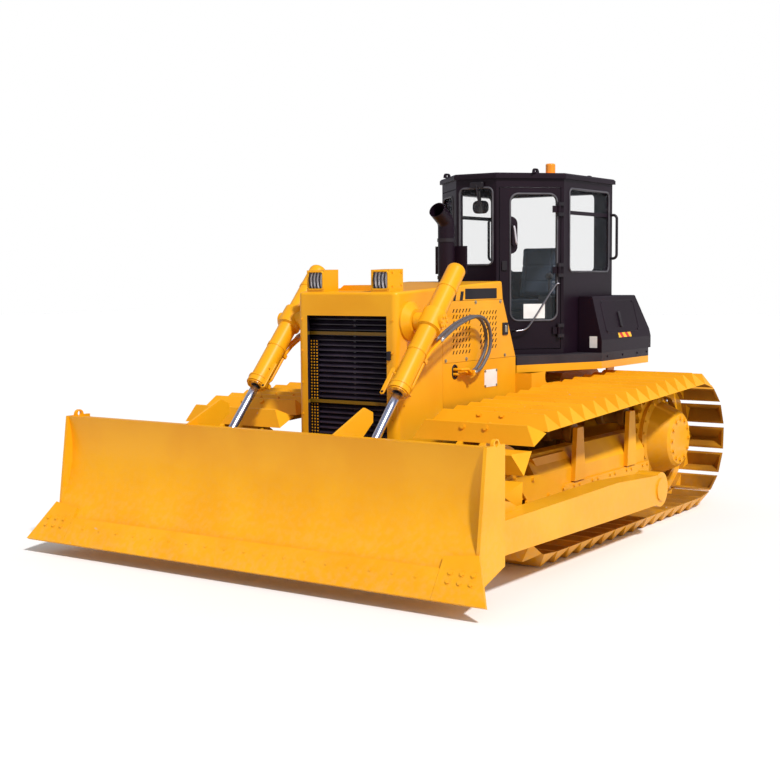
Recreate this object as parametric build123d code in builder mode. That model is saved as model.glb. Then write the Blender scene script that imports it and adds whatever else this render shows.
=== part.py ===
"""Crawler bulldozer with wide swamp tracks, a straight blade on outside push arms and an
eight-sided cab.

Millimetres, +Z up. The machine faces -Y and its left side is +X. The origin lies on the
ground, under the middle of its length and width. Every left-hand piece is drawn at +X and
mirrored across the YZ plane.
"""

import os
from math import atan2, cos, degrees, hypot, pi, radians, sin, sqrt, tan

from build123d import *

os.makedirs("parts", exist_ok=True)

# ---------------------------------------------------------------- overall
front_y = -2640.0  # tip of the cutting edge
rear_y = 2640.0  # end of the drawbar
running_gap = 5.0  # between pieces that move past each other
seat_gap = 0.3  # between round pieces that bear on each other
wall = 12.0  # body plate

# ---------------------------------------------------------------- tracks
track_gauge = 2305.0  # between the track centres
shoe_width = 1025.0
shoe_count = 42
link_pitch = 203.2
shoe_gap = 3.2  # between two shoes on the ground run
shoe_height = 110.0
shoe_plate = 16.0
shoe_end_lean = 80.0  # how much shorter the crest is at each end
shoe_crest = 12.0
shoe_pad = 320.0  # solid middle that the links bolt to
pin_to_shoe = 75.0
rail_below_pin = 45.0
rail_width = 45.0
rail_spread = 194.0  # between the middles of the two rails
sprocket_teeth = 27
idler_pin_radius = 375.0
sprocket_y = 2008.0
sprocket_thickness = 76.0
tooth_height = 56.0

# ---------------------------------------------------------------- track frames
frame_beam_width = 300.0
frame_beam_low = 410.0
frame_beam_top = 745.0
frame_beam_shoulder = 590.0
frame_shoulder_in = 90.0
frame_front_y = -560.0
frame_rear_y = 1500.0
roller_count = 7
roller_radius = 98.0
roller_first_y = -560.0
roller_last_y = 1470.0
carrier_places = [147.0, 1160.0]
carrier_radius = 82.0

# ---------------------------------------------------------------- hull
belly_z = 400.0
hull_half = 430.0
hull_low = 500.0
hull_top = 980.0
hull_front_y = -1178.0
hull_nose_y = -800.0
hull_nose_top = 700.0
hull_rear_y = 1500.0
case_rear_y = 2330.0
case_top = 1230.0
final_drive_radius = 290.0

# ---------------------------------------------------------------- hood
guard_front_y = -1213.0
guard_depth = 650.0
hood_half = 475.0
hood_front_z = 2013.0
hood_rear_z = 2087.0
hood_rear_y = 384.0
hood_corner = 50.0
hood_side_low = 1000.0
hood_seam_z = 1433.0
hood_foot_y = 630.0
grille_half = 380.0
grille_top = 1830.0
grille_low = 760.0

# ---------------------------------------------------------------- deck and cab
deck_low = 1287.0
deck_plate_z = 1353.0
deck_top = 1430.0
deck_front_y = 650.0
deck_turn_y = 1500.0
deck_half = 885.0
deck_rear_y = 2605.0
cab_front_y = 767.0
cab_front_half = 207.0
cab_side_y = 1222.0
cab_half = 639.0
cab_rear_y = 2233.0
cab_wall_top = 2990.0
cab_wall = 45.0
roof_thickness = 48.0
roof_overhang = 22.0
window_top = 2905.0
beacon_height = 107.0

# ---------------------------------------------------------------- side boxes and tank
box_top = 1940.0
box_knee = 1545.0
box_top_half = 785.0
box_chamfer_y = 2440.0
box_chamfer_z = 1612.0

# ---------------------------------------------------------------- blade
blade_half = 1916.0
edge_low = 110.0
blade_top_y = -2344.0
blade_top_z = 1053.0
blade_plate = 16.0
end_plate = 25.0
end_plate_rear_y = -2115.0
end_plate_low = 255.0
edge_lean = 57.0  # of the cutting edge, from the ground
bit_half = 2075.0
bit_height = 330.0  # at its outer side
edge_height = 215.0
edge_thickness = 25.0
arm_pivot_y = 500.0
arm_pivot_z = 400.0
arm_inner = 1697.0
arm_width = 190.0
arm_front_depth = 227.0
arm_middle_depth = 272.0
arm_rear_depth = 235.0
trunnion_radius = 62.0

# ---------------------------------------------------------------- lift cylinders
cylinder_x = 673.0
swing_y = -1032.0
swing_z = 1790.0
rod_eye_y = -2010.0
rod_eye_z = 730.0
barrel_radius = 75.0
barrel_above = 560.0  # from the swing pin to the closed end
barrel_below = 683.0  # from the swing pin to the gland
rod_radius = 33.0
rod_eye_radius = 62.0


def write(piece, name):
    piece.part.label = name
    export_step(piece.part, f"parts/{name}.step")


def write_pair(piece, name):
    """Writes a piece drawn at +X, and its mirror image."""
    write(piece, f"{name}_left")
    other = mirror(piece.part, about=Plane.YZ)
    other.label = f"{name}_right"
    export_step(other, f"parts/{name}_right.step")


def block(x, y, z, mode=Mode.ADD):
    """A box between two values of X, of Y and of Z."""
    with Locations(((x[0] + x[1]) / 2, (y[0] + y[1]) / 2, (z[0] + z[1]) / 2)):
        Box(x[1] - x[0], y[1] - y[0], z[1] - z[0], mode=mode)


def side_plate(outline, x, mode=Mode.ADD):
    """A plate of the given (y, z) outline between two values of X."""
    with BuildSketch(Plane.YZ.offset(x[0])) as section:
        with BuildLine():
            Polyline(*outline, close=True)
        make_face()
    extrude(section.sketch, amount=x[1] - x[0], mode=mode)


def floor_plate(outline, z, mode=Mode.ADD):
    """A plate of the given (x, y) outline between two heights."""
    with BuildSketch(Plane.XY.offset(z[0])) as section:
        with BuildLine():
            Polyline(*outline, close=True)
        make_face()
    extrude(section.sketch, amount=z[1] - z[0], mode=mode)


def wheel(profile, centre, mode=Mode.ADD):
    """A turned body about an X-wise axis; its profile is (x from the centre, radius)."""
    with BuildSketch(Plane(origin=centre, x_dir=(1, 0, 0), z_dir=(0, -1, 0))) as section:
        with BuildLine():
            Polyline(*profile, close=True)
        make_face()
    revolve(section.sketch, axis=Axis(centre, (1, 0, 0)), mode=mode)


def both_halves(outline):
    """An (x, y) outline drawn for x > 0, completed by its mirror image."""
    return outline + [(-x, y) for x, y in reversed(outline)]


# ---------------------------------------------------------------- track chain
track_x = track_gauge / 2
pin_line_z = shoe_height + pin_to_shoe
sprocket_pin_radius = link_pitch / (2 * sin(2 * pi / sprocket_teeth))
sprocket_z = pin_line_z + sprocket_pin_radius
idler_z = pin_line_z + idler_pin_radius
radius_step = sprocket_pin_radius - idler_pin_radius


def chain_length(span):
    rise = 2 * atan2(radius_step, span)
    return 2 * span + sprocket_pin_radius * (pi + rise) + idler_pin_radius * (pi - rise)


def chain_point(run, span):
    """Where the pins' path is after a run from under the idler: back along the ground,
    up round the sprocket, forward along the top and down round the idler."""
    rise = 2 * atan2(radius_step, span)
    run = run % chain_length(span)
    if run < span:
        return sprocket_y - span + run, pin_line_z
    run -= span
    if run < sprocket_pin_radius * (pi + rise):
        turn = run / sprocket_pin_radius - pi / 2
        return (
            sprocket_y + sprocket_pin_radius * cos(turn),
            sprocket_z + sprocket_pin_radius * sin(turn),
        )
    run -= sprocket_pin_radius * (pi + rise)
    if run < span:
        return (
            sprocket_y - sprocket_pin_radius * sin(rise) - run * cos(rise),
            sprocket_z + sprocket_pin_radius * cos(rise) - run * sin(rise),
        )
    turn = pi / 2 + rise + (run - span) / idler_pin_radius
    return (
        sprocket_y - span + idler_pin_radius * cos(turn),
        idler_z + idler_pin_radius * sin(turn),
    )


def chain_runs(span):
    """The run at each pin, one straight pitch after another, and where the next would be."""
    runs = [link_pitch / 2]
    for _ in range(shoe_count):
        here = chain_point(runs[-1], span)
        near, far = runs[-1] + 0.9 * link_pitch, runs[-1] + 1.3 * link_pitch
        for _ in range(40):
            middle = (near + far) / 2
            there = chain_point(middle, span)
            if hypot(there[0] - here[0], there[1] - here[1]) < link_pitch:
                near = middle
            else:
                far = middle
        runs.append(near)
    return runs


# The idler stands where the chain of whole links just closes.
short_span, long_span = 8 * link_pitch, shoe_count * link_pitch / 2
for _ in range(40):
    track_span = (short_span + long_span) / 2
    last_pin = chain_runs(track_span)[-1] - link_pitch / 2
    if last_pin < chain_length(track_span):
        long_span = track_span
    else:
        short_span = track_span
idler_y = sprocket_y - track_span
top_rise = 2 * atan2(radius_step, track_span)
pins = [chain_point(run, track_span) for run in chain_runs(track_span)[:-1]]


def chain_outline(outward):
    """The pins' polygon moved outward, as (y, z) corners."""
    corners = []
    for before, here, after in zip(pins[-1:] + pins, pins, pins[1:] + pins[:1]):
        into = atan2(here[1] - before[1], here[0] - before[0])
        out = atan2(after[1] - here[1], after[0] - here[0])
        turn = (out - into + pi) % (2 * pi) - pi
        reach = outward / cos(turn / 2)
        facing = into + turn / 2 - pi / 2
        corners.append((here[0] + reach * cos(facing), here[1] + reach * sin(facing)))
    return corners


def top_run_z(y):
    """Height of the pins' line on the top run."""
    return sprocket_z + (sprocket_pin_radius + (y - sprocket_y) * sin(top_rise)) / cos(top_rise)


# A shoe as it lies on the ground, its pins' line at z = 0.
shoe_half = (link_pitch - shoe_gap) / 2
flank = hypot(shoe_half - shoe_crest / 2, shoe_height)
pocket_half = shoe_half - shoe_plate * flank / shoe_height
pocket_depth = pocket_half * shoe_height / (shoe_half - shoe_crest / 2)
end_slope = hypot(shoe_end_lean, shoe_height) / shoe_height
pocket_end = shoe_width / 2 - shoe_plate * end_slope
shoe_base = -pin_to_shoe
with BuildPart() as shoe_pocket:
    side_plate(
        [(-pocket_half, shoe_base), (pocket_half, shoe_base), (0, shoe_base - pocket_depth)],
        (shoe_pad / 2, shoe_width / 2),
    )
    with BuildSketch(Plane.XZ.offset(-shoe_half)):
        with BuildLine():
            Polyline(
                (shoe_pad / 2, shoe_base),
                (pocket_end, shoe_base),
                (pocket_end - shoe_end_lean, shoe_base - shoe_height),
                (shoe_pad / 2, shoe_base - shoe_height),
                close=True,
            )
        make_face()
    extrude(amount=2 * shoe_half, mode=Mode.INTERSECT)
    mirror(about=Plane.YZ)
with BuildPart() as shoe:
    side_plate(
        [
            (-shoe_half, shoe_base),
            (shoe_half, shoe_base),
            (shoe_crest / 2, shoe_base - shoe_height),
            (-shoe_crest / 2, shoe_base - shoe_height),
        ],
        (-shoe_width / 2, shoe_width / 2),
    )
    with BuildSketch(Plane.XZ.offset(-shoe_half)):
        with BuildLine():
            Polyline(
                (-shoe_width / 2, shoe_base),
                (shoe_width / 2, shoe_base),
                (shoe_width / 2 - shoe_end_lean, shoe_base - shoe_height),
                (shoe_end_lean - shoe_width / 2, shoe_base - shoe_height),
                close=True,
            )
        make_face()
    extrude(amount=2 * shoe_half, mode=Mode.INTERSECT)
    add(shoe_pocket.part, mode=Mode.SUBTRACT)

shoe_places = []
for here, after in zip(pins, pins[1:] + pins[:1]):
    middle = (track_x, (here[0] + after[0]) / 2, (here[1] + after[1]) / 2)
    tilt = degrees(atan2(after[1] - here[1], after[0] - here[0]))
    shoe_places.append(Location(middle, (tilt, 0, 0)))
with BuildPart() as track:
    with Locations(*shoe_places):
        add(shoe.part)
    for side in (-1, 1):
        with BuildSketch(Plane.YZ.offset(track_x + side * rail_spread / 2 - rail_width / 2)):
            with BuildLine():
                Polyline(*chain_outline(pin_to_shoe), close=True)
            make_face()
            with BuildLine():
                Polyline(*chain_outline(-rail_below_pin), close=True)
            make_face(mode=Mode.SUBTRACT)
        extrude(amount=rail_width)
write_pair(track, "track")

# ---------------------------------------------------------------- running gear
rail_top_z = pin_line_z + rail_below_pin
idler_tread = sqrt(idler_pin_radius**2 - (link_pitch / 2) ** 2) - rail_below_pin - seat_gap
rail_inside = rail_spread / 2 - rail_width / 2
rail_outside = rail_spread / 2 + rail_width / 2
guide_half = rail_inside - running_gap
guide_lift = 22.0
hub_radius = 240.0

with BuildPart() as sprockets:
    root_radius = sprocket_pin_radius - 33.0
    tooth = [(-6, -31), (tooth_height, -13), (tooth_height, 13), (-6, 31)]
    with BuildSketch(Plane.YZ.offset(track_x - sprocket_thickness / 2)):
        with Locations((sprocket_y, sprocket_z)):
            Circle(root_radius)
            with PolarLocations(root_radius, sprocket_teeth):
                Polygon(*tooth, align=None)
            Circle(hub_radius - 20, mode=Mode.SUBTRACT)
    extrude(amount=sprocket_thickness)
    mirror(about=Plane.YZ)
write(sprockets, "sprockets")

with BuildPart() as idlers:
    wheel(
        [
            (-rail_outside, 70), (-rail_outside, idler_tread), (-guide_half, idler_tread),
            (-guide_half, idler_tread + guide_lift), (guide_half, idler_tread + guide_lift),
            (guide_half, idler_tread), (rail_outside, idler_tread), (rail_outside, 70),
        ],
        (track_x, idler_y, idler_z),
    )
    mirror(about=Plane.YZ)
write(idlers, "idlers")

roller_z = rail_top_z + roller_radius + seat_gap
flange_lift = 20.0
flange_width = 18.0
roller_half = rail_outside + running_gap + flange_width
roller_step = (roller_last_y - roller_first_y) / (roller_count - 1)
with BuildPart() as track_rollers:
    for place in range(roller_count):
        wheel(
            [
                (-roller_half, 0), (-roller_half, roller_radius + flange_lift),
                (flange_width - roller_half, roller_radius + flange_lift),
                (flange_width - roller_half, roller_radius), (-rail_inside, roller_radius),
                (-rail_inside + 15, roller_radius - 30), (rail_inside - 15, roller_radius - 30),
                (rail_inside, roller_radius), (roller_half - flange_width, roller_radius),
                (roller_half - flange_width, roller_radius + flange_lift),
                (roller_half, roller_radius + flange_lift), (roller_half, 0),
            ],
            (track_x, roller_first_y + place * roller_step, roller_z),
        )
    mirror(about=Plane.YZ)
write(track_rollers, "track_rollers")

bracket_inside = rail_outside + 28.0
bracket_plate = 40.0
carrier_centres = [
    (track_x, y, top_run_z(y) - (rail_below_pin + carrier_radius + seat_gap) / cos(top_rise))
    for y in carrier_places
]
with BuildPart() as carrier_rollers:
    for centre in carrier_centres:
        wheel(
            [
                (-rail_outside - 12, 0), (-rail_outside - 12, carrier_radius),
                (-rail_inside, carrier_radius), (-rail_inside + 15, carrier_radius - 18),
                (rail_inside - 15, carrier_radius - 18), (rail_inside, carrier_radius),
                (rail_outside + 12, carrier_radius), (rail_outside + 12, 40),
                (bracket_inside - seat_gap, 40), (bracket_inside - seat_gap, 0),
            ],
            centre,
        )
    mirror(about=Plane.YZ)
write(carrier_rollers, "carrier_rollers")

# ---------------------------------------------------------------- track frames
beam_half = frame_beam_width / 2
beam_section = [
    (-beam_half, frame_beam_low), (beam_half, frame_beam_low),
    (beam_half, frame_beam_shoulder), (beam_half - frame_shoulder_in, frame_beam_top),
    (frame_shoulder_in - beam_half, frame_beam_top), (-beam_half, frame_beam_shoulder),
]
roller_hanger = 26.0
hanger_inside = roller_half + 4.0
idler_fork = 34.0
with BuildPart() as track_frames:
    with BuildSketch(Plane.XZ.offset(-frame_rear_y)):
        with BuildLine():
            Polyline(*[(track_x + x, z) for x, z in beam_section], close=True)
        make_face()
    extrude(amount=frame_rear_y - frame_front_y)
    for side in (-1, 1):
        # the walls that hold the rollers, and the fork that holds the idler
        inner = track_x + side * (hanger_inside + roller_hanger / 2) - roller_hanger / 2
        side_plate(
            [
                (frame_front_y - 90, 300), (frame_rear_y + 60, 300),
                (frame_rear_y + 60, frame_beam_low + 60), (frame_front_y - 90, frame_beam_low + 60),
            ],
            (inner, inner + roller_hanger),
        )
        fork = track_x + side * (rail_outside + 12 + idler_fork / 2) - idler_fork / 2
        side_plate(
            [
                (idler_y - 120, idler_z - 70), (idler_y + 60, idler_z - 105),
                (frame_front_y + 40, frame_beam_low + 20), (frame_front_y + 40, frame_beam_shoulder),
                (idler_y + 60, idler_z + 100), (idler_y - 120, idler_z + 70),
            ],
            (fork, fork + idler_fork),
        )
    for place in range(roller_count):
        y = roller_first_y + place * roller_step
        with Locations(Location((track_x, y, roller_z), (0, 90, 0))):
            Cylinder(roller_radius + flange_lift + 3, 2 * hanger_inside, mode=Mode.SUBTRACT)
    side_plate(
        [
            (-1112, 620), (-841, 632), (-557, 609), (-41, 443), (-243, 400), (-700, 392),
            (-827, 515), (-1099, 572),
        ],
        (track_x + rail_outside + 12 + idler_fork - 2, track_x + rail_outside + 12 + idler_fork + 20),
    )
    side_plate(
        [(-529, 723), (13, 725), (255, 565), (240, 501), (-383, 579)],
        (track_x + 40, track_x + beam_half - 40),
    )
    for centre in carrier_centres:
        foot = frame_beam_shoulder - 110
        side_plate(
            [
                (centre[1] - 95, foot), (centre[1] + 95, foot),
                (centre[1] + 55, centre[2] + 50), (centre[1] - 55, centre[2] + 50),
            ],
            (track_x + bracket_inside, track_x + bracket_inside + bracket_plate),
        )
    mirror(about=Plane.YZ)
write(track_frames, "track_frames")

# ---------------------------------------------------------------- final drives and rear case
frame_inside = track_x - beam_half
drive_case_end = track_x - sprocket_thickness / 2 - seat_gap
case_half = 470.0
drive_cover_radius = 372.0
with BuildPart() as final_drives:
    wheel(
        [
            (case_half + seat_gap - track_x, 0),
            (case_half + seat_gap - track_x, final_drive_radius - 40),
            (560 - track_x, final_drive_radius - 40), (600 - track_x, final_drive_radius),
            (960 - track_x, final_drive_radius), (1000 - track_x, final_drive_radius - 50),
            (-sprocket_thickness / 2 - seat_gap, final_drive_radius - 50),
            (-sprocket_thickness / 2 - seat_gap, hub_radius - 21),
            (sprocket_thickness / 2 + seat_gap, hub_radius - 21),
            (sprocket_thickness / 2 + seat_gap, drive_cover_radius),
            (sprocket_thickness / 2 + 34, drive_cover_radius),
            (sprocket_thickness / 2 + 60, drive_cover_radius - 40),
            (262, hub_radius + 15), (285, hub_radius - 12), (285, 0),
        ],
        (track_x, sprocket_y, sprocket_z),
    )
    mirror(about=Plane.YZ)
write(final_drives, "final_drives")

with BuildPart() as rear_case:
    block((-case_half, case_half), (hull_rear_y, case_rear_y), (belly_z + 60, case_top))
    fillet(rear_case.edges().filter_by(Axis.X).group_by(Axis.Y)[-1], 90)
    fillet(rear_case.edges().filter_by(Axis.X).group_by(Axis.Z)[-1].group_by(Axis.Y)[0], 60)
write(rear_case, "rear_case")

# ---------------------------------------------------------------- hull
rail_plate = 40.0
with BuildPart() as main_frame:
    for x in ((hull_half - rail_plate, hull_half), (-hull_half, rail_plate - hull_half)):
        side_plate(
            [
                (hull_front_y, hull_low), (hull_rear_y - seat_gap, hull_low),
                (hull_rear_y - seat_gap, hull_top), (hull_nose_y + 160, hull_top),
                (hull_nose_y, hull_nose_top), (hull_front_y, hull_nose_top),
            ],
            x,
        )
    for y, low, high in ((hull_front_y, hull_low, hull_nose_top), (520.0, hull_low, 640)):
        block((rail_plate - hull_half, hull_half - rail_plate), (y, y + 60), (low, high))
    for side in (-1, 1):
        x = sorted((side * hull_half, side * (hood_half - wall)))
        block(x, (hull_front_y + 60, guard_front_y + guard_depth - 60), (600, 670))
    # the equaliser beam that rests on both track frames
    block(
        (-(frame_inside - seat_gap), frame_inside - seat_gap), (-340.0, -180.0), (560.0, 690.0)
    )
write(main_frame, "main_frame")

with BuildPart() as belly_guards:
    side_plate(
        [
            (hull_front_y, hull_low - 15), (hull_front_y + 260, belly_z), (360, belly_z),
            (360, belly_z + wall), (hull_front_y + 265, belly_z + wall),
            (hull_front_y + 3, hull_low),
        ],
        (-hull_half, hull_half),
    )
    side_plate(
        [(400, belly_z), (1380, belly_z), (1380, belly_z + wall), (400, belly_z + wall)],
        (-hull_half, hull_half),
    )
    for y in (-600.0, 100.0, 600.0, 1200.0):
        for side in (-1, 1):
            x = side * (hull_half - 25)
            block((x - 20, x + 20), (y, y + 60), (belly_z + wall, hull_low))
write(belly_guards, "belly_guards")

with BuildPart() as engine_block:
    block((-290, 290), (-500, 560), (760, 1760))
    chamfer(engine_block.edges().filter_by(Axis.Y).group_by(Axis.Z)[-1], 120)
    for y in (-420.0, 440.0):
        foot = hull_half - rail_plate
        block((-foot, foot), (y, y + 90), (800, 850))
write(engine_block, "engine_block")

# ---------------------------------------------------------------- radiator guard and grille
hood_slope = (hood_rear_z - hood_front_z) / (hood_rear_y - guard_front_y)


def hood_z(y):
    """Height of the hood's top at a place along the machine."""
    return hood_front_z + (y - guard_front_y) * hood_slope


guard_rear_y = guard_front_y + guard_depth
guard_front_wall = 30.0
guard_low = 560.0
grille_back_y = guard_front_y + guard_front_wall + 92.0
cross_bar_heights = [1150.0, 1690.0]
cross_bar_y = grille_back_y - 55.0
filler_cover = (-990.0, -760.0)
with BuildPart() as radiator_guard:
    floor_plate(
        [
            (-hood_half, guard_front_y), (hood_half, guard_front_y),
            (hood_half, guard_rear_y), (-hood_half, guard_rear_y),
        ],
        (guard_low, hood_rear_z + 50),
    )
    fillet(radiator_guard.edges().filter_by(Axis.Z).group_by(Axis.Y)[0], hood_corner)
    side_plate(
        [
            (guard_front_y - 10, hood_z(guard_front_y - 10)),
            (guard_rear_y + 10, hood_z(guard_rear_y + 10)),
            (guard_rear_y + 10, hood_rear_z + 60), (guard_front_y - 10, hood_rear_z + 60),
        ],
        (-hood_half - 10, hood_half + 10),
        mode=Mode.SUBTRACT,
    )
    fillet(
        radiator_guard.faces().sort_by(Axis.Z)[-1].edges().group_by(Axis.Y)[0], hood_corner / 2
    )
    side_plate(
        [
            (guard_front_y + guard_front_wall, guard_low - 10), (guard_rear_y + 10, guard_low - 10),
            (guard_rear_y + 10, hood_z(guard_rear_y) - wall),
            (guard_front_y + guard_front_wall, hood_z(guard_front_y) - wall),
        ],
        (wall - hood_half, hood_half - wall),
        mode=Mode.SUBTRACT,
    )
    block(
        (-grille_half, grille_half),
        (guard_front_y - 10, guard_front_y + guard_front_wall + 10),
        (grille_low, grille_top),
        mode=Mode.SUBTRACT,
    )
    # bars across the opening, before the louvres
    for z in cross_bar_heights:
        block(
            (wall - hood_half, hood_half - wall), (cross_bar_y, cross_bar_y + 12), (z - 13, z + 13)
        )
    # the raised cover over the coolant filler
    with BuildSketch(Plane.XZ.offset(-filler_cover[0])) as cover:
        with BuildLine():
            Polyline(
                *both_halves([(238.0, hood_z(filler_cover[0])), (180.0, hood_front_z + 52)]),
                close=True,
            )
        make_face()
    extrude(cover.sketch, amount=filler_cover[0] - filler_cover[1])
write(radiator_guard, "radiator_guard")

louvre_count = 26
louvre_depth = 36.0
louvre_plate = 8.0
grille_frame = 20.0
with BuildPart() as front_grille:
    reach = hood_half - wall - seat_gap
    low, high = grille_low - grille_frame, grille_top + grille_frame
    louvre_step = (high - low - 2 * grille_frame) / louvre_count
    for place in range(louvre_count):
        z = low + grille_frame + (place + 0.5) * louvre_step
        side_plate(
            [
                (grille_back_y - louvre_depth, z - 14), (grille_back_y, z + 14),
                (grille_back_y, z + 14 + louvre_plate),
                (grille_back_y - louvre_depth, z - 14 + louvre_plate),
            ],
            (-reach + 10, reach - 10),
        )
    for x in (-reach, -grille_frame / 2, reach - grille_frame):
        block((x, x + grille_frame), (grille_back_y - 8, grille_back_y + 12), (low, high))
    for z in (low, high - grille_frame):
        block((-reach, reach), (grille_back_y - 8, grille_back_y + 12), (z, z + grille_frame))
write(front_grille, "front_grille")

core_front_y = grille_back_y + 40.0
with BuildPart() as radiator_core:
    block((-410, 410), (core_front_y, core_front_y + 120), (hull_nose_top, 1900))
write(radiator_core, "radiator_core")

# ---------------------------------------------------------------- hood
hood_skirt_z = 1930.0
hood_seam = 3.0
with BuildPart() as hood_top:
    front, rear = guard_rear_y + hood_seam, hood_rear_y
    side_plate(
        [
            (front, hood_skirt_z + hood_seam), (rear + 21, hood_skirt_z + hood_seam),
            (rear, hood_z(rear)), (front, hood_z(front)),
        ],
        (-hood_half, hood_half),
    )
    shoulders = [
        edge for edge in hood_top.edges().filter_by(lambda edge: edge.length > 0.9 * (rear - front))
        if edge.center().Z > hood_skirt_z + wall
    ]
    fillet(shoulders, hood_corner / 3)
write(hood_top, "hood_top")

# Leaning slots in each side cover: middle (y, z), rows, slots in a row.
vent_blocks = [(-272.0, 1683.0, 8, 6), (113.0, 1683.0, 7, 4), (262.0, 1683.0, 7, 2)]
vent_pitch_y = 50.0
vent_pitch_z = 48.0
vent_slot = [(-18, -15), (-2, -15), (18, 15), (2, 15)]
lap = 25.0
with BuildPart() as hood_sides:
    rear_at_skirt = hood_rear_y + 21
    side_plate(
        [
            (guard_rear_y + hood_seam, hood_seam_z + hood_seam),
            (hood_foot_y - hood_seam, hood_seam_z + hood_seam),
            (rear_at_skirt + hood_seam, hood_skirt_z),
            (guard_rear_y + hood_seam, hood_skirt_z),
        ],
        (hood_half - wall, hood_half),
    )
    with BuildSketch(Plane.YZ.offset(hood_half - wall - 1)):
        for y, z, rows, columns in vent_blocks:
            with Locations((y, z)):
                with GridLocations(vent_pitch_y, vent_pitch_z, columns, rows):
                    Polygon(*vent_slot, align=None)
    extrude(amount=wall + 2, mode=Mode.SUBTRACT)
    # strips behind the seams, on the hull's sheet and under the top
    for low, high in (
        (hood_seam_z - lap, hood_seam_z + lap), (hood_skirt_z - lap, hood_skirt_z + hood_seam)
    ):
        block(
            (hood_half - 2 * wall, hood_half - wall),
            (guard_rear_y + 2 * hood_seam, rear_at_skirt - lap),
            (low, high),
        )
    mirror(about=Plane.YZ)
write(hood_sides, "hood_sides")

with BuildPart() as hull_sides:
    side_plate(
        [
            (guard_rear_y + hood_seam, hood_side_low), (hood_foot_y, hood_side_low),
            (hood_foot_y, hood_seam_z), (guard_rear_y + hood_seam, hood_seam_z),
        ],
        (hood_half - wall, hood_half),
    )
    with BuildSketch(Plane.YZ.offset(hood_half - wall - 1)):
        with Locations((-381, 1359)):
            Ellipse(34, 52)
    extrude(amount=wall + 2, mode=Mode.SUBTRACT)
    # the flange that carries the sheet on the hull's side rail
    block(
        (hull_half, hood_half - wall), (guard_rear_y + 40, hood_foot_y - 40),
        (hood_side_low, hood_side_low + wall),
    )
    mirror(about=Plane.YZ)
write(hull_sides, "hull_sides")

lamp_inner, lamp_outer = 225.0, 393.0
lamp_front_y, lamp_rear_y = guard_front_y + 22, guard_front_y + 212
lamp_top = 2183.0
lamp_wall = 9.0
lens_set_back = 12.0
with BuildPart() as headlamps:
    side_plate(
        [
            (lamp_front_y, hood_z(lamp_front_y)), (lamp_rear_y, hood_z(lamp_rear_y)),
            (lamp_rear_y, lamp_top + 6), (lamp_front_y, lamp_top),
        ],
        (lamp_inner, lamp_outer),
    )
    block(
        (lamp_inner + lamp_wall, lamp_outer - lamp_wall), (lamp_front_y - 1, lamp_front_y + 60),
        (hood_z(lamp_front_y) + 2 * lamp_wall, lamp_top - lamp_wall),
        mode=Mode.SUBTRACT,
    )
    mirror(about=Plane.YZ)
write(headlamps, "headlamps")
with BuildPart() as lamp_lenses:
    block(
        (lamp_inner + lamp_wall + 0.3, lamp_outer - lamp_wall - 0.3),
        (lamp_front_y + lens_set_back, lamp_front_y + lens_set_back + 15),
        (hood_z(lamp_front_y) + 2 * lamp_wall, lamp_top - lamp_wall - 0.3),
    )
    mirror(about=Plane.YZ)
write(lamp_lenses, "lamp_lenses")

# ---------------------------------------------------------------- exhaust
stack_y = 262.0
stack_radius = 72.0
stack_bend_z = 2600.0
shield_half = 155.0
stack_foot_z = hood_z(stack_y + stack_radius)
with BuildPart() as exhaust_stack:
    with BuildLine() as stack_line:
        FilletPolyline(
            (0, stack_y, stack_foot_z), (0, stack_y, stack_bend_z),
            (0, stack_y - 150, stack_bend_z + 95),
            radius=90,
        )
    with BuildSketch(Plane.XY.offset(stack_foot_z)) as ring:
        with Locations((0, stack_y)):
            Circle(stack_radius)
            Circle(stack_radius - 5, mode=Mode.SUBTRACT)
    sweep(ring.sketch, path=stack_line.line)
    block(
        (-shield_half, shield_half),
        (stack_y + stack_radius - 4, stack_y + stack_radius + 22), (2150.0, 2390.0),
    )
write(exhaust_stack, "exhaust_stack")

# ---------------------------------------------------------------- deck and fenders
deck_outline = both_halves(
    [
        (hood_half + hood_seam, deck_front_y), (deck_half, deck_turn_y), (deck_half, deck_rear_y - 60),
        (deck_half - 60, deck_rear_y),
    ]
)
with BuildPart() as cab_deck:
    floor_plate(deck_outline, (deck_plate_z, deck_top))
write(cab_deck, "cab_deck")

fender_plate = 14.0
with BuildPart() as fenders:
    floor_plate(deck_outline, (deck_low, deck_plate_z))
    floor_plate(
        both_halves(
            [
                (hood_half - 25, deck_front_y + 30), (deck_half - fender_plate, deck_turn_y + 5),
                (deck_half - fender_plate, deck_rear_y - 60 - fender_plate),
                (deck_half - 60 - fender_plate, deck_rear_y - fender_plate),
            ]
        ),
        (deck_low - 1, deck_plate_z - fender_plate),
        mode=Mode.SUBTRACT,
    )
write(fenders, "fenders")

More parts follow.
